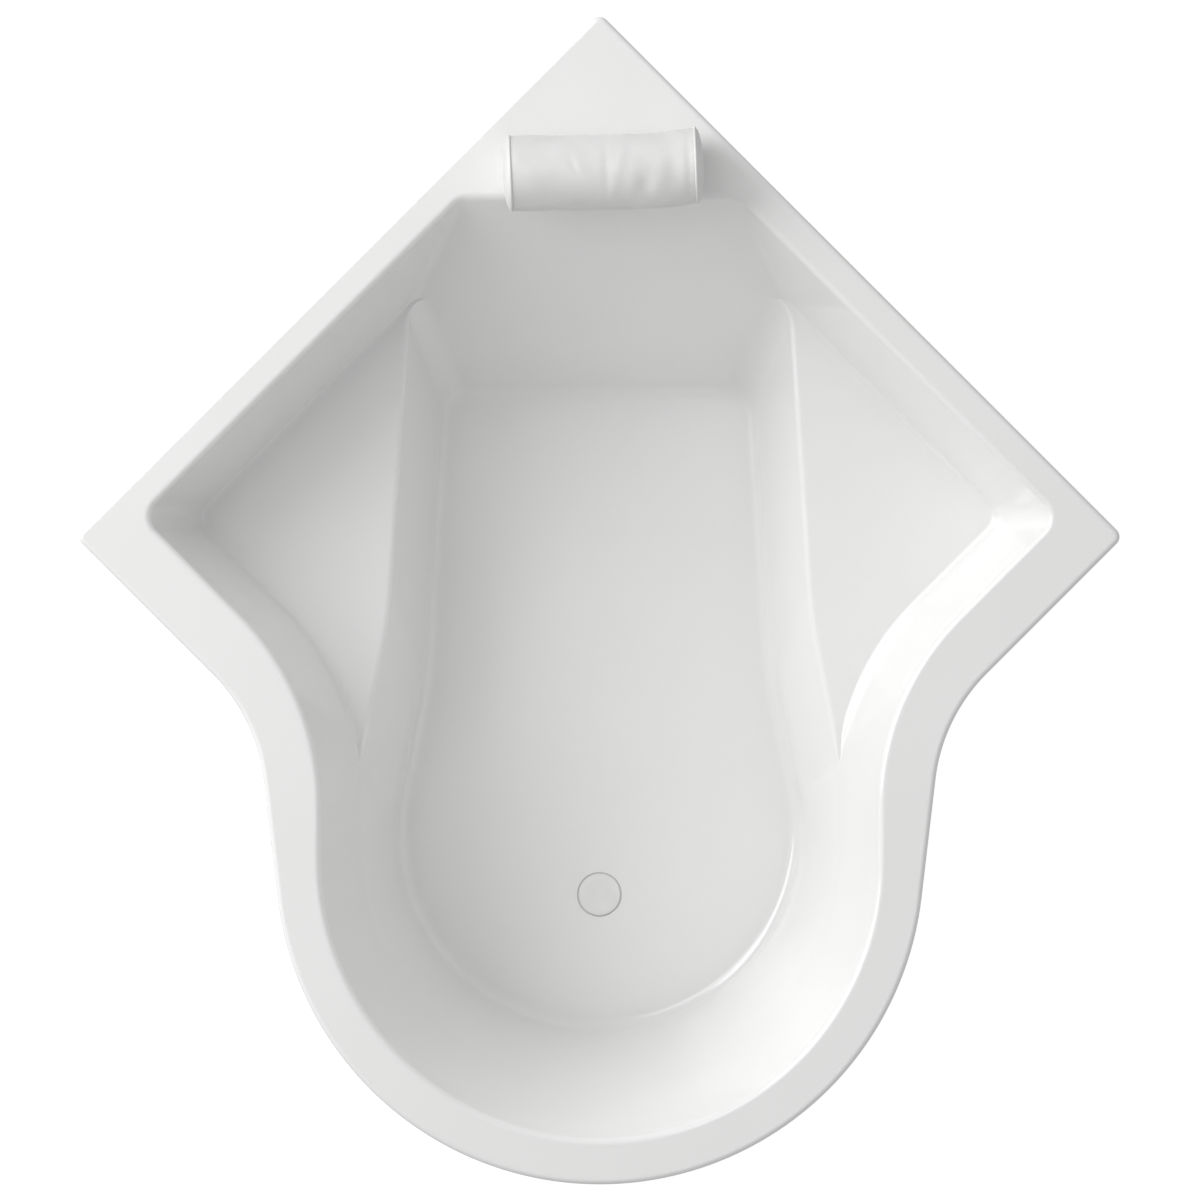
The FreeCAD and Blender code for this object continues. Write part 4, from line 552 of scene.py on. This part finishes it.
def stretched(tree, stretch):
    """The object's own coordinates, in metres, scaled along each axis."""
    source = tree.nodes.new("ShaderNodeTexCoord").outputs["Object"]
    if stretch is None:
        return source
    mapping = tree.nodes.new("ShaderNodeMapping")
    mapping.inputs["Scale"].default_value = stretch
    tree.links.new(source, mapping.inputs["Vector"])
    return mapping.outputs["Vector"]


def noise(tree, scale, detail=3.0, stretch=None):
    """A noise texture with so many features per metre."""
    texture = tree.nodes.new("ShaderNodeTexNoise")
    texture.inputs["Scale"].default_value = scale
    texture.inputs["Detail"].default_value = detail
    tree.links.new(stretched(tree, stretch), texture.inputs["Vector"])
    return texture.outputs["Fac"]


def cells(tree, scale, output="Distance", stretch=None):
    """A cell texture with so many cells per metre."""
    texture = tree.nodes.new("ShaderNodeTexVoronoi")
    texture.inputs["Scale"].default_value = scale
    tree.links.new(stretched(tree, stretch), texture.inputs["Vector"])
    return texture.outputs[output]


def tones(tree, shader, source, low, high, start=0.3, end=0.7):
    """Base colour that runs from low to high with a texture's value."""
    ramp = tree.nodes.new("ShaderNodeValToRGB")
    ramp.color_ramp.elements[0].position = start
    ramp.color_ramp.elements[1].position = end
    ramp.color_ramp.elements[0].color = (*low, 1)
    ramp.color_ramp.elements[1].color = (*high, 1)
    tree.links.new(source, ramp.inputs["Fac"])
    tree.links.new(ramp.outputs["Color"], shader.inputs["Base Color"])


def sheen_of(tree, shader, source, low, high):
    """Roughness that runs from low to high with a texture's value."""
    rise = tree.nodes.new("ShaderNodeMapRange")
    for socket, value in (("From Min", 0.3), ("From Max", 0.7), ("To Min", low), ("To Max", high)):
        rise.inputs[socket].default_value = value
    tree.links.new(source, rise.inputs["Value"])
    tree.links.new(rise.outputs["Result"], shader.inputs["Roughness"])


def bump(tree, shader, source, height, under=None):
    """Relief of so many metres in the shader's normal, over an earlier relief if given."""
    node = tree.nodes.new("ShaderNodeBump")
    node.inputs["Distance"].default_value = height
    tree.links.new(source, node.inputs["Height"])
    if under is not None:
        tree.links.new(under, node.inputs["Normal"])
    tree.links.new(node.outputs["Normal"], shader.inputs["Normal"])
    return node.outputs["Normal"]


def acrylic(name):
    """Cast white acrylic: high gloss, faintly wavy, with a slightly uneven sheen."""
    made, shader = material(
        name, (0.86, 0.86, 0.855), 0.14, Coat_Weight=0.5, Coat_Roughness=0.05
    )
    tree = made.node_tree
    tones(tree, shader, noise(tree, 3.0, 2), (0.848, 0.848, 0.842), (0.868, 0.868, 0.864))
    sheen_of(tree, shader, noise(tree, 9), 0.11, 0.17)
    wave = bump(tree, shader, noise(tree, 7, 1), 0.0003)
    bump(tree, shader, noise(tree, 420, 2), 0.00001, wave)
    return made


def laminate():
    """Resin with glass fibre, sprayed on the back of the acrylic: rough and off-white."""
    made, shader = material("laminate", (0.72, 0.71, 0.66), 0.5)
    tree = made.node_tree
    tones(tree, shader, noise(tree, 60, 4), (0.64, 0.63, 0.57), (0.78, 0.77, 0.73))
    sheen_of(tree, shader, noise(tree, 35), 0.35, 0.65)
    strands = bump(tree, shader, noise(tree, 160, 4, (1, 3.5, 1)), 0.0012)
    bump(tree, shader, noise(tree, 600, 2), 0.0003, strands)
    return made


def moulded(name, colour, roughness):
    """Moulded plastic with a fine grain."""
    made, shader = material(name, colour, roughness)
    tree = made.node_tree
    lighter = tuple(min(1, c * 1.03) for c in colour)
    tones(tree, shader, noise(tree, 30), tuple(c * 0.97 for c in colour), lighter)
    sheen_of(tree, shader, noise(tree, 80), roughness * 0.85, roughness * 1.2)
    bump(tree, shader, noise(tree, 1500, 2), 0.00002)
    return made


def vinyl(name, grain=900):
    """Satin upholstery vinyl with a fine pebbled grain and a soft sheen."""
    made, shader = material(
        name, (0.75, 0.75, 0.745), 0.42, Sheen_Weight=0.12, Sheen_Roughness=0.5
    )
    tree = made.node_tree
    tones(tree, shader, noise(tree, 18, 4), (0.728, 0.728, 0.72), (0.768, 0.768, 0.764))
    sheen_of(tree, shader, noise(tree, 45, 4), 0.34, 0.5)
    pebble = bump(tree, shader, cells(tree, grain), 0.00009)
    bump(tree, shader, noise(tree, 2600, 2), 0.00003, pebble)
    return made


def metal(name, colour, roughness, stretch=None, spread=0.4):
    """Metal with an uneven sheen and, where it is stretched, a drawn grain."""
    made, shader = material(name, colour, roughness, Metallic=1.0)
    tree = made.node_tree
    cloud = noise(tree, 70, 5)
    tones(tree, shader, cloud, tuple(c * 0.85 for c in colour), colour)
    low, high = roughness * (1 - spread), roughness * (1 + spread)
    sheen_of(tree, shader, noise(tree, 140, 4, stretch), low, high)
    bump(tree, shader, noise(tree, 900, 3, stretch), 0.00003)
    return made


def zinc():
    """Zinc plate with its faint crystal pattern."""
    made, shader = material("zinc", (0.62, 0.63, 0.65), 0.35, Metallic=1.0)
    tree = made.node_tree
    tones(tree, shader, cells(tree, 260, "Color"), (0.54, 0.55, 0.58), (0.7, 0.71, 0.72), 0.1, 0.9)
    sheen_of(tree, shader, noise(tree, 120, 4), 0.26, 0.46)
    bump(tree, shader, noise(tree, 1400, 3), 0.00003)
    return made


def powder_coat():
    """Grey powder coat with its orange peel."""
    made, shader = material("powder_coat", (0.26, 0.27, 0.28), 0.42)
    tree = made.node_tree
    tones(tree, shader, noise(tree, 22, 4), (0.235, 0.245, 0.255), (0.285, 0.295, 0.305))
    sheen_of(tree, shader, noise(tree, 60), 0.36, 0.5)
    bump(tree, shader, noise(tree, 480, 2), 0.00012)
    return made


def rubber():
    """Black rubber with a dull, uneven surface."""
    made, shader = material("rubber", (0.02, 0.02, 0.021), 0.7)
    tree = made.node_tree
    tones(tree, shader, noise(tree, 90, 4), (0.014, 0.014, 0.015), (0.034, 0.034, 0.035))
    sheen_of(tree, shader, noise(tree, 150), 0.6, 0.8)
    bump(tree, shader, noise(tree, 1300, 3), 0.00008)
    return made


def softwood():
    """Planed softwood: growth rings drawn out along the batten, and fine pores."""
    made, shader = material("softwood", (0.6, 0.44, 0.26), 0.6)
    tree = made.node_tree
    rings = tree.nodes.new("ShaderNodeTexWave")
    rings.wave_type = "RINGS"
    rings.inputs["Scale"].default_value = 28
    rings.inputs["Distortion"].default_value = 5
    rings.inputs["Detail"].default_value = 3
    rings.inputs["Detail Scale"].default_value = 0.6
    tree.links.new(stretched(tree, (1, 1, 3)), rings.inputs["Vector"])
    tones(tree, shader, rings.outputs["Fac"], (0.47, 0.31, 0.16), (0.66, 0.5, 0.31), 0.1, 0.9)
    sheen_of(tree, shader, noise(tree, 120, 4), 0.5, 0.72)
    bump(tree, shader, noise(tree, 700, 4), 0.00015)
    return made


def particle_board():
    """Sealed particle board: pressed chips of several tones."""
    made, shader = material("particle_board", (0.5, 0.38, 0.24), 0.55)
    tree = made.node_tree
    chips = cells(tree, 240, "Color", (1, 1, 0.4))
    tones(tree, shader, chips, (0.34, 0.23, 0.12), (0.62, 0.48, 0.31), 0.1, 0.9)
    sheen_of(tree, shader, noise(tree, 90, 4), 0.4, 0.65)
    bump(tree, shader, cells(tree, 240, "Distance", (1, 1, 0.4)), 0.00025)
    return made


def foam():
    """Open-celled foam."""
    made, shader = material("foam", (0.7, 0.66, 0.53), 0.95)
    tree = made.node_tree
    tones(tree, shader, noise(tree, 40, 4), (0.64, 0.6, 0.47), (0.76, 0.72, 0.6))
    bump(tree, shader, cells(tree, 1100), 0.0006)
    return made


FINISHES = {
    "acrylic": acrylic("acrylic"),
    "apron_acrylic": acrylic("apron_acrylic"),
    "cover_plastic": moulded("cover_plastic", (0.82, 0.82, 0.815), 0.22),
    "white_plastic": moulded("white_plastic", (0.74, 0.74, 0.73), 0.42),
    "bright_steel": metal("bright_steel", (0.78, 0.78, 0.79), 0.14),
    "rubber": rubber(),
    "board": particle_board(),
    "vinyl": vinyl("vinyl"),
    "piping": vinyl("piping", 1400),
    "foam": foam(),
    "magnet": metal("magnet", (0.09, 0.09, 0.095), 0.5),
    "zinc_steel": zinc(),
    "wood": softwood(),
    "frame_paint": powder_coat(),
}


def dress(piece, node, slot):
    """Let a piece stand for a node, with the finish of the record's slot."""
    piece.data.materials.append(FINISHES[slot])
    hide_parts(node)


# ---------------------------------------------------------------- pieces


def make_shell():
    """The moulded shell, glossy above and with its rough laminate below."""
    rings = shell_rings()
    verts, faces = skin(rings, wrap=True)
    lowest = min(range(len(rings)), key=lambda k: rings[k][:, 2].max())
    count = len(rings[0])
    marks = [1 if k // count >= lowest else 0 for k in range(len(faces))]
    shell = new_object("bath_shell", verts, faces, "root", marks=marks)
    dress(shell, "tub_shell", "acrylic")
    shell.data.materials.append(laminate())


def make_cover():
    """Cover of the waste, slightly domed, with its boss below."""
    low = DISC_BOTTOM
    boss = (DISC_BOSS_RADIUS, low - DISC_BOSS_HEIGHT)
    edge, step = DISC_RADIUS, DISC_ROUND
    profile = [(0, boss[1]), boss, (boss[0], low), (edge - 0.3, low), (edge, low + 0.3)]
    profile.append((edge, low + 1.2))
    for k in range(1, 7):
        turn = math.pi / 2 * k / 6
        profile.append((edge - step + step * math.cos(turn), low + 1.2 + 0.55 * math.sin(turn)))
    for k in range(1, 11):
        radius = (edge - step) * (1 - k / 10)
        profile.append((radius, low + 2.6 - 0.85 * (radius / (edge - step)) ** 2))
    cover = lathe("waste_cover_disc", profile, (0, DRAIN_Y), "waste_cover")
    dress(cover, "drain_cover", "cover_plastic")


# ---------------------------------------------------------------- bolster

# middle of the axis, its turn in plan and the distance of each seam from its middle
AXIS = np.array([6.0, CORNER_Y - 255, 660.3])
TILT = math.radians(2.4)
SEAM = 150.0
# level that the bolster rests on, and how softly it is flattened there
REST = 600.05
REST_ROUND = 0.8
# cover: radius, distance of its ends from the seams, inner radius of its end faces
COVER_RADIUS, COVER_END, COVER_INSIDE = 60.6, 1.6, 57.5
COVER_POINTS = 96
# cloth: pressure, last frame, furthest that a point moves in metres
PRESSURE, FRAMES, LARGEST_MOVE = 4, 20, 0.003
# radius in metres within which the end faces of the cover get no folds
PLAIN_INSIDE = 0.0585
FOAM_RADIUS, FOAM_HALF, FOAM_EDGE = 54.2, 149.5, 4.0
# ends: where the dome starts beyond the seam, how far it bulges, its radius
DOME_START, DOME_BULGE, DOME_RADIUS = 1.2, 11.6, 60.2
# piping: radius of the cord and of the circle it runs on, steps around that circle and itself
CORD_RADIUS, CORD_REACH = 2.3, 60.4
CORD_STEPS, CORD_SIDES = 240, 16
# sideways sag of the bolster's middle line: share of its length, then millimetres
SAG = [(0, 0), (0.2, -1.9), (0.36, -3.2), (0.55, -4.9), (0.7, -5.8), (0.89, -3.0), (1, 0.6)]
# folds: place along it and how far it drifts with each degree, angle from its top to the back,
# width along and around it, and height
FOLDS = [
    (5, 0, 6, 6.5, 42, -0.8),
    (24, 0.24, 6, 9, 40, 0.9),
    (40, 0.15, 0, 8, 30, -0.3),
    (-48, -0.36, 11, 6, 16, -0.6),
    (-37, -0.3, 8, 8, 18, 0.4),
    (68, 0, -23, 14, 17, -2.4),
    (44, 0, -8, 14, 26, 0.8),
    (84, 0, -28, 11, 20, 0.6),
    (114, 0, -4, 16, 30, -2.0),
    (95, 0, 4, 12, 26, 0.6),
    (139, 0, 0, 6, 50, -1.1),
    (-136, 0, 24, 11, 15, 0.8),
    (-118, 0, -50, 24, 18, -0.8),
    (-75, 0, -62, 26, 14, 0.6),
    (-20, 0, -66, 20, 12, -0.7),
    (35, 0, -62, 22, 16, -0.9),
    (75, 0, -75, 18, 18, 1.0),
    (105, 0, 60, 18, 26, -0.9),
    (30, 0, 70, 24, 20, 0.7),
    (-60, 0, 62, 26, 22, -0.6),
]


def sagging(place):
    """Middle line of the bolster beside its straight axis."""
    share = (place + SEAM) / (2 * SEAM)
    knots = np.array(SAG)
    curve = np.polynomial.Polynomial.fit(knots[:, 0], knots[:, 1], 4)
    return curve(share)


def cover_radius(place, angle):
    """Radius of the cover before it is stuffed, the same all round at a place along it."""
    end = SEAM - abs(place)
    swell, pinch = math.exp(-(((end - 34) / 24) ** 2)), math.exp(-((end / 4.0) ** 2))
    return COVER_RADIUS + 0.8 * swell - 0.8 * pinch


def foam_radius(place, angle):
    """Radius of the foam, rounded at its ends and not quite even."""
    end = FOAM_HALF - abs(place)
    corner = FOAM_EDGE - math.sqrt(max(FOAM_EDGE**2 - max(FOAM_EDGE - end, 0) ** 2, 0))
    return FOAM_RADIUS - corner + 0.25 * math.sin(3 * angle + place / 23)


def fold_height(place, angle):
    """Folds, puckers at the seams and slight unevenness, in millimetres out of the cover."""
    end = max(SEAM - abs(place), 0)
    height = 0
    for middle, drift, turn, width, spread, rise in FOLDS:
        aside = (math.degrees(angle) - turn + 180) % 360 - 180
        beside = (place - middle - drift * aside) / width
        height += rise * math.exp(-(beside**2) - (aside / spread) ** 2)
    pucker = math.sin(23 * angle + 1.3 * math.sin(3 * angle)) + 0.6 * math.sin(37 * angle + 2)
    height += 0.16 * pucker * math.exp(-((end / 9.0) ** 2))
    wave = math.sin(place / 17 + 2.2 * math.sin(angle)) * math.sin(2 * angle + place / 41)
    return height + 0.28 * wave


def laid(place, angle, radius):
    """A point of the bolster in the frame, flattened where it rests on the deck."""
    side = sagging(np.clip(place, -SEAM, SEAM)) + radius * math.sin(angle)
    x = AXIS[0] + place * math.cos(TILT) - side * math.sin(TILT)
    y = AXIS[1] + place * math.sin(TILT) + side * math.cos(TILT)
    height = AXIS[2] + radius * math.cos(angle) - REST
    height = (height + math.sqrt(height * height + 4 * REST_ROUND**2)) / 2
    return np.array([x, y, REST + height]) * MM


def bolster_rings(places, radius_at, count=192):
    """Rings around the bolster's axis, with a radius for each place and angle."""
    angles = [2 * math.pi * k / count for k in range(count)]
    return [np.array([laid(x, a, radius_at(x, a)) for a in angles]) for x in places]


def closed_skin(rings):
    """A surface through rings with a flat face over each end."""
    verts, faces = skin(rings)
    count = len(rings[0])
    for first in (0, len(verts) - count):
        faces.append(tuple(range(first, first + count)))
    return verts, faces


def swollen(piece, cap):
    """Cloth simulation that blows a closed cover up from inside, its ends held by the seams.

    No point moves further than the cap, in metres.
    """
    before = np.empty(len(piece.data.vertices) * 3)
    piece.data.vertices.foreach_get("co", before)
    held = piece.vertex_groups.new(name="seams")
    ahead = np.array([math.cos(TILT), math.sin(TILT), 0])
    place = (before.reshape(-1, 3) - AXIS * MM) @ ahead
    ends = np.nonzero(np.abs(place) > (SEAM - 2.5) * MM)[0]
    held.add([int(k) for k in ends], 1.0, "REPLACE")
    cloth = piece.modifiers.new("stuffing", "CLOTH")
    cloth.settings.use_pressure = True
    cloth.settings.uniform_pressure_force = PRESSURE
    cloth.settings.effector_weights.gravity = 0
    cloth.settings.vertex_group_mass = "seams"
    cloth.settings.quality = 6
    cloth.point_cache.frame_start = 1
    cloth.point_cache.frame_end = FRAMES
    for step in range(1, FRAMES + 1):
        bpy.context.scene.frame_set(step)
    shape = piece.evaluated_get(bpy.context.evaluated_depsgraph_get()).to_mesh()
    after = np.empty(len(shape.vertices) * 3)
    shape.vertices.foreach_get("co", after)
    piece.modifiers.remove(cloth)
    bpy.context.scene.frame_set(1)
    move = (after - before).reshape(-1, 3)
    length = np.linalg.norm(move, axis=1)[:, None]
    move *= np.minimum(1, cap / np.maximum(length, 1e-9))
    moved = before.reshape(-1, 3) + move
    piece.data.vertices.foreach_set("co", moved.ravel())
    piece.vertex_groups.clear()


def folded(piece):
    """One subdivision, then the folds and the flat underside of a stuffed cover."""
    work = bmesh.new()
    work.from_mesh(piece.data)
    bmesh.ops.subdivide_edges(work, edges=work.edges, cuts=1, use_grid_fill=True, smooth=0.6)
    axis = Vector(AXIS) * MM
    ahead = Vector((math.cos(TILT), math.sin(TILT), 0))
    aside = Vector((-math.sin(TILT), math.cos(TILT), 0))
    for vert in work.verts:
        reach = vert.co - axis
        place = reach.dot(ahead) / MM
        sideways = reach.dot(aside) - sagging(place) * MM
        angle = math.atan2(sideways, reach.z)
        out = aside * math.sin(angle) + Vector((0, 0, math.cos(angle)))
        if math.hypot(sideways, reach.z) >= PLAIN_INSIDE:
            vert.co += out * (fold_height(place, angle) * MM)
        vert.co.z = max(vert.co.z, REST * MM)
    work.to_mesh(piece.data)
    work.free()
    piece.data.polygons.foreach_set("use_smooth", [True] * len(piece.data.polygons))
    piece.data.set_sharp_from_angle(angle=math.radians(60))


def make_bolster():
    """Stuffed vinyl cover over foam, between two round ends with piping in both seams."""
    edge = SEAM - COVER_END
    steps = np.linspace(-1, 1, 76)
    places = edge * (0.82 * steps + 0.18 * np.sin(steps * math.pi / 2))
    inner = [bolster_rings([x], lambda x, a: COVER_INSIDE, COVER_POINTS)[0] for x in (-edge, edge)]
    middle = bolster_rings(places, cover_radius, COVER_POINTS)
    verts, faces = closed_skin([inner[0]] + middle + [inner[1]])
    cover = new_object("bolster_cover", verts, faces, "neck_pillow", 60)
    swollen(cover, LARGEST_MOVE)
    folded(cover)
    dress(cover, "pillow_cover", "vinyl")

    tip = [FOAM_HALF - FOAM_EDGE * (1 - math.cos(math.pi / 2 * k / 8)) for k in range(9)]
    places = [-x for x in tip] + list(np.linspace(-FOAM_HALF, FOAM_HALF, 41)[1:-1]) + tip[::-1]
    verts, faces = closed_skin(bolster_rings(sorted(places), foam_radius, COVER_POINTS))
    core = new_object("bolster_foam", verts, faces, "neck_pillow", 40)
    dress(core, "pillow_core", "foam")

    for label, side in (("left", -1), ("right", 1)):
        make_end(label, side)
        make_cord(label, side)


def make_end(label, side):
    """Domed end of the bolster."""

    def dome(reach, angle):
        share = min(max((abs(reach) - SEAM - DOME_START) / DOME_BULGE, 0), 1)
        soft = 1 + 0.012 * math.sin(3 * angle + side) * (1 - share)
        return DOME_RADIUS * math.sqrt(max(1 - share**2.2, 0)) ** 1.15 * soft + 0.01

    rings = [bolster_rings([side * (SEAM + DOME_START)], lambda x, a: 0.01)[0]]
    bulge = [DOME_BULGE * math.sin(math.pi / 2 * k / 22) for k in range(23)]
    rings += bolster_rings([side * (SEAM + DOME_START + x) for x in bulge], dome)
    verts, faces = skin(rings)
    cap = new_object(f"bolster_end_{label}", verts, faces, "neck_pillow", 60)
    dress(cap, f"pillow_end_{label}", "vinyl")


def make_cord(label, side):
    """Piping in the seam between the cover and an end."""
    rings = []
    for k in range(CORD_STEPS):
        angle = 2 * math.pi * k / CORD_STEPS
        section = []
        for j in range(CORD_SIDES):
            turn = 2 * math.pi * j / CORD_SIDES
            radius = CORD_REACH + CORD_RADIUS * math.cos(turn)
            section.append(laid(side * SEAM + CORD_RADIUS * math.sin(turn), angle, radius))
        rings.append(np.array(section))
    verts, faces = skin(rings, wrap=True)
    cord = new_object(f"bolster_piping_{label}", verts, faces, "neck_pillow", 80)
    dress(cord, f"pillow_piping_{label}", "piping")


# ---------------------------------------------------------------- stage

# name, place in metres, diameter in metres and power in watts of the two soft lights
LIGHTS = (
    ("key", (-6.0, 2.9, 4.2), 6.5, 445),
    ("high", (-2.2, 2.6, 6.2), 3.0, 46),
)
LIGHT_AIM = Vector((0, 0, 0.4))
SKY_STRENGTH = 0.51
# width of the floor in metres, its grey and its own glow
FLOOR_SIZE, FLOOR_GREY, FLOOR_GLOW = 60, 0.36, 0.84
# place of the camera in plan and its height over the rim, in metres, and its sensor's width
CAMERA_PLACE = (0.0008, 0.0009)
CAMERA_HEIGHT = 40.0
SENSOR = 36
# width of the photograph and its scale
PIXELS = 1200
MM_PER_PIXEL = 1.6186


def make_stage():
    """Plain pale floor, soft light from the left and the camera straight above."""
    bpy.ops.mesh.primitive_plane_add(size=FLOOR_SIZE)
    floor = bpy.context.object
    floor.name = "floor"
    made, shader = material("floor", (FLOOR_GREY,) * 3, 0.9)
    shader.inputs["Emission Color"].default_value = (1, 1, 1, 1)
    shader.inputs["Emission Strength"].default_value = FLOOR_GLOW
    floor.data.materials.append(made)
    floor.visible_diffuse = False
    floor.visible_glossy = False

    scene = bpy.context.scene
    scene.world = bpy.data.worlds.new("studio")
    scene.world.use_nodes = True
    sky = scene.world.node_tree.nodes["Background"]
    sky.inputs["Color"].default_value = (1, 1, 1, 1)
    sky.inputs["Strength"].default_value = SKY_STRENGTH

    for name, place, size, power in LIGHTS:
        light = bpy.data.lights.new(name, "AREA")
        light.shape = "DISK"
        light.size = size
        light.energy = power
        lamp = bpy.data.objects.new(name, light)
        scene.collection.objects.link(lamp)
        lamp.location = place
        aim = LIGHT_AIM - lamp.location
        lamp.rotation_euler = aim.to_track_quat("-Z", "Y").to_euler()
        lamp.visible_camera = False

    data = bpy.data.cameras.new("camera")
    data.sensor_width = SENSOR
    data.lens = SENSOR * CAMERA_HEIGHT / (PIXELS * MM_PER_PIXEL * MM)
    data.clip_end = 200
    camera = bpy.data.objects.new("camera", data)
    scene.collection.objects.link(camera)
    camera.location = (*CAMERA_PLACE, RIM_TOP * MM + CAMERA_HEIGHT)
    scene.camera = camera
    scene.view_settings.view_transform = "Standard"


for row in frame["record"]["subparts"]:
    for mesh_slot in frame["nodes"][row["node"]].material_slots:
        mesh_slot.material = FINISHES[row["material_slot"]]
make_stage()
make_shell()
make_cover()
make_bolster()
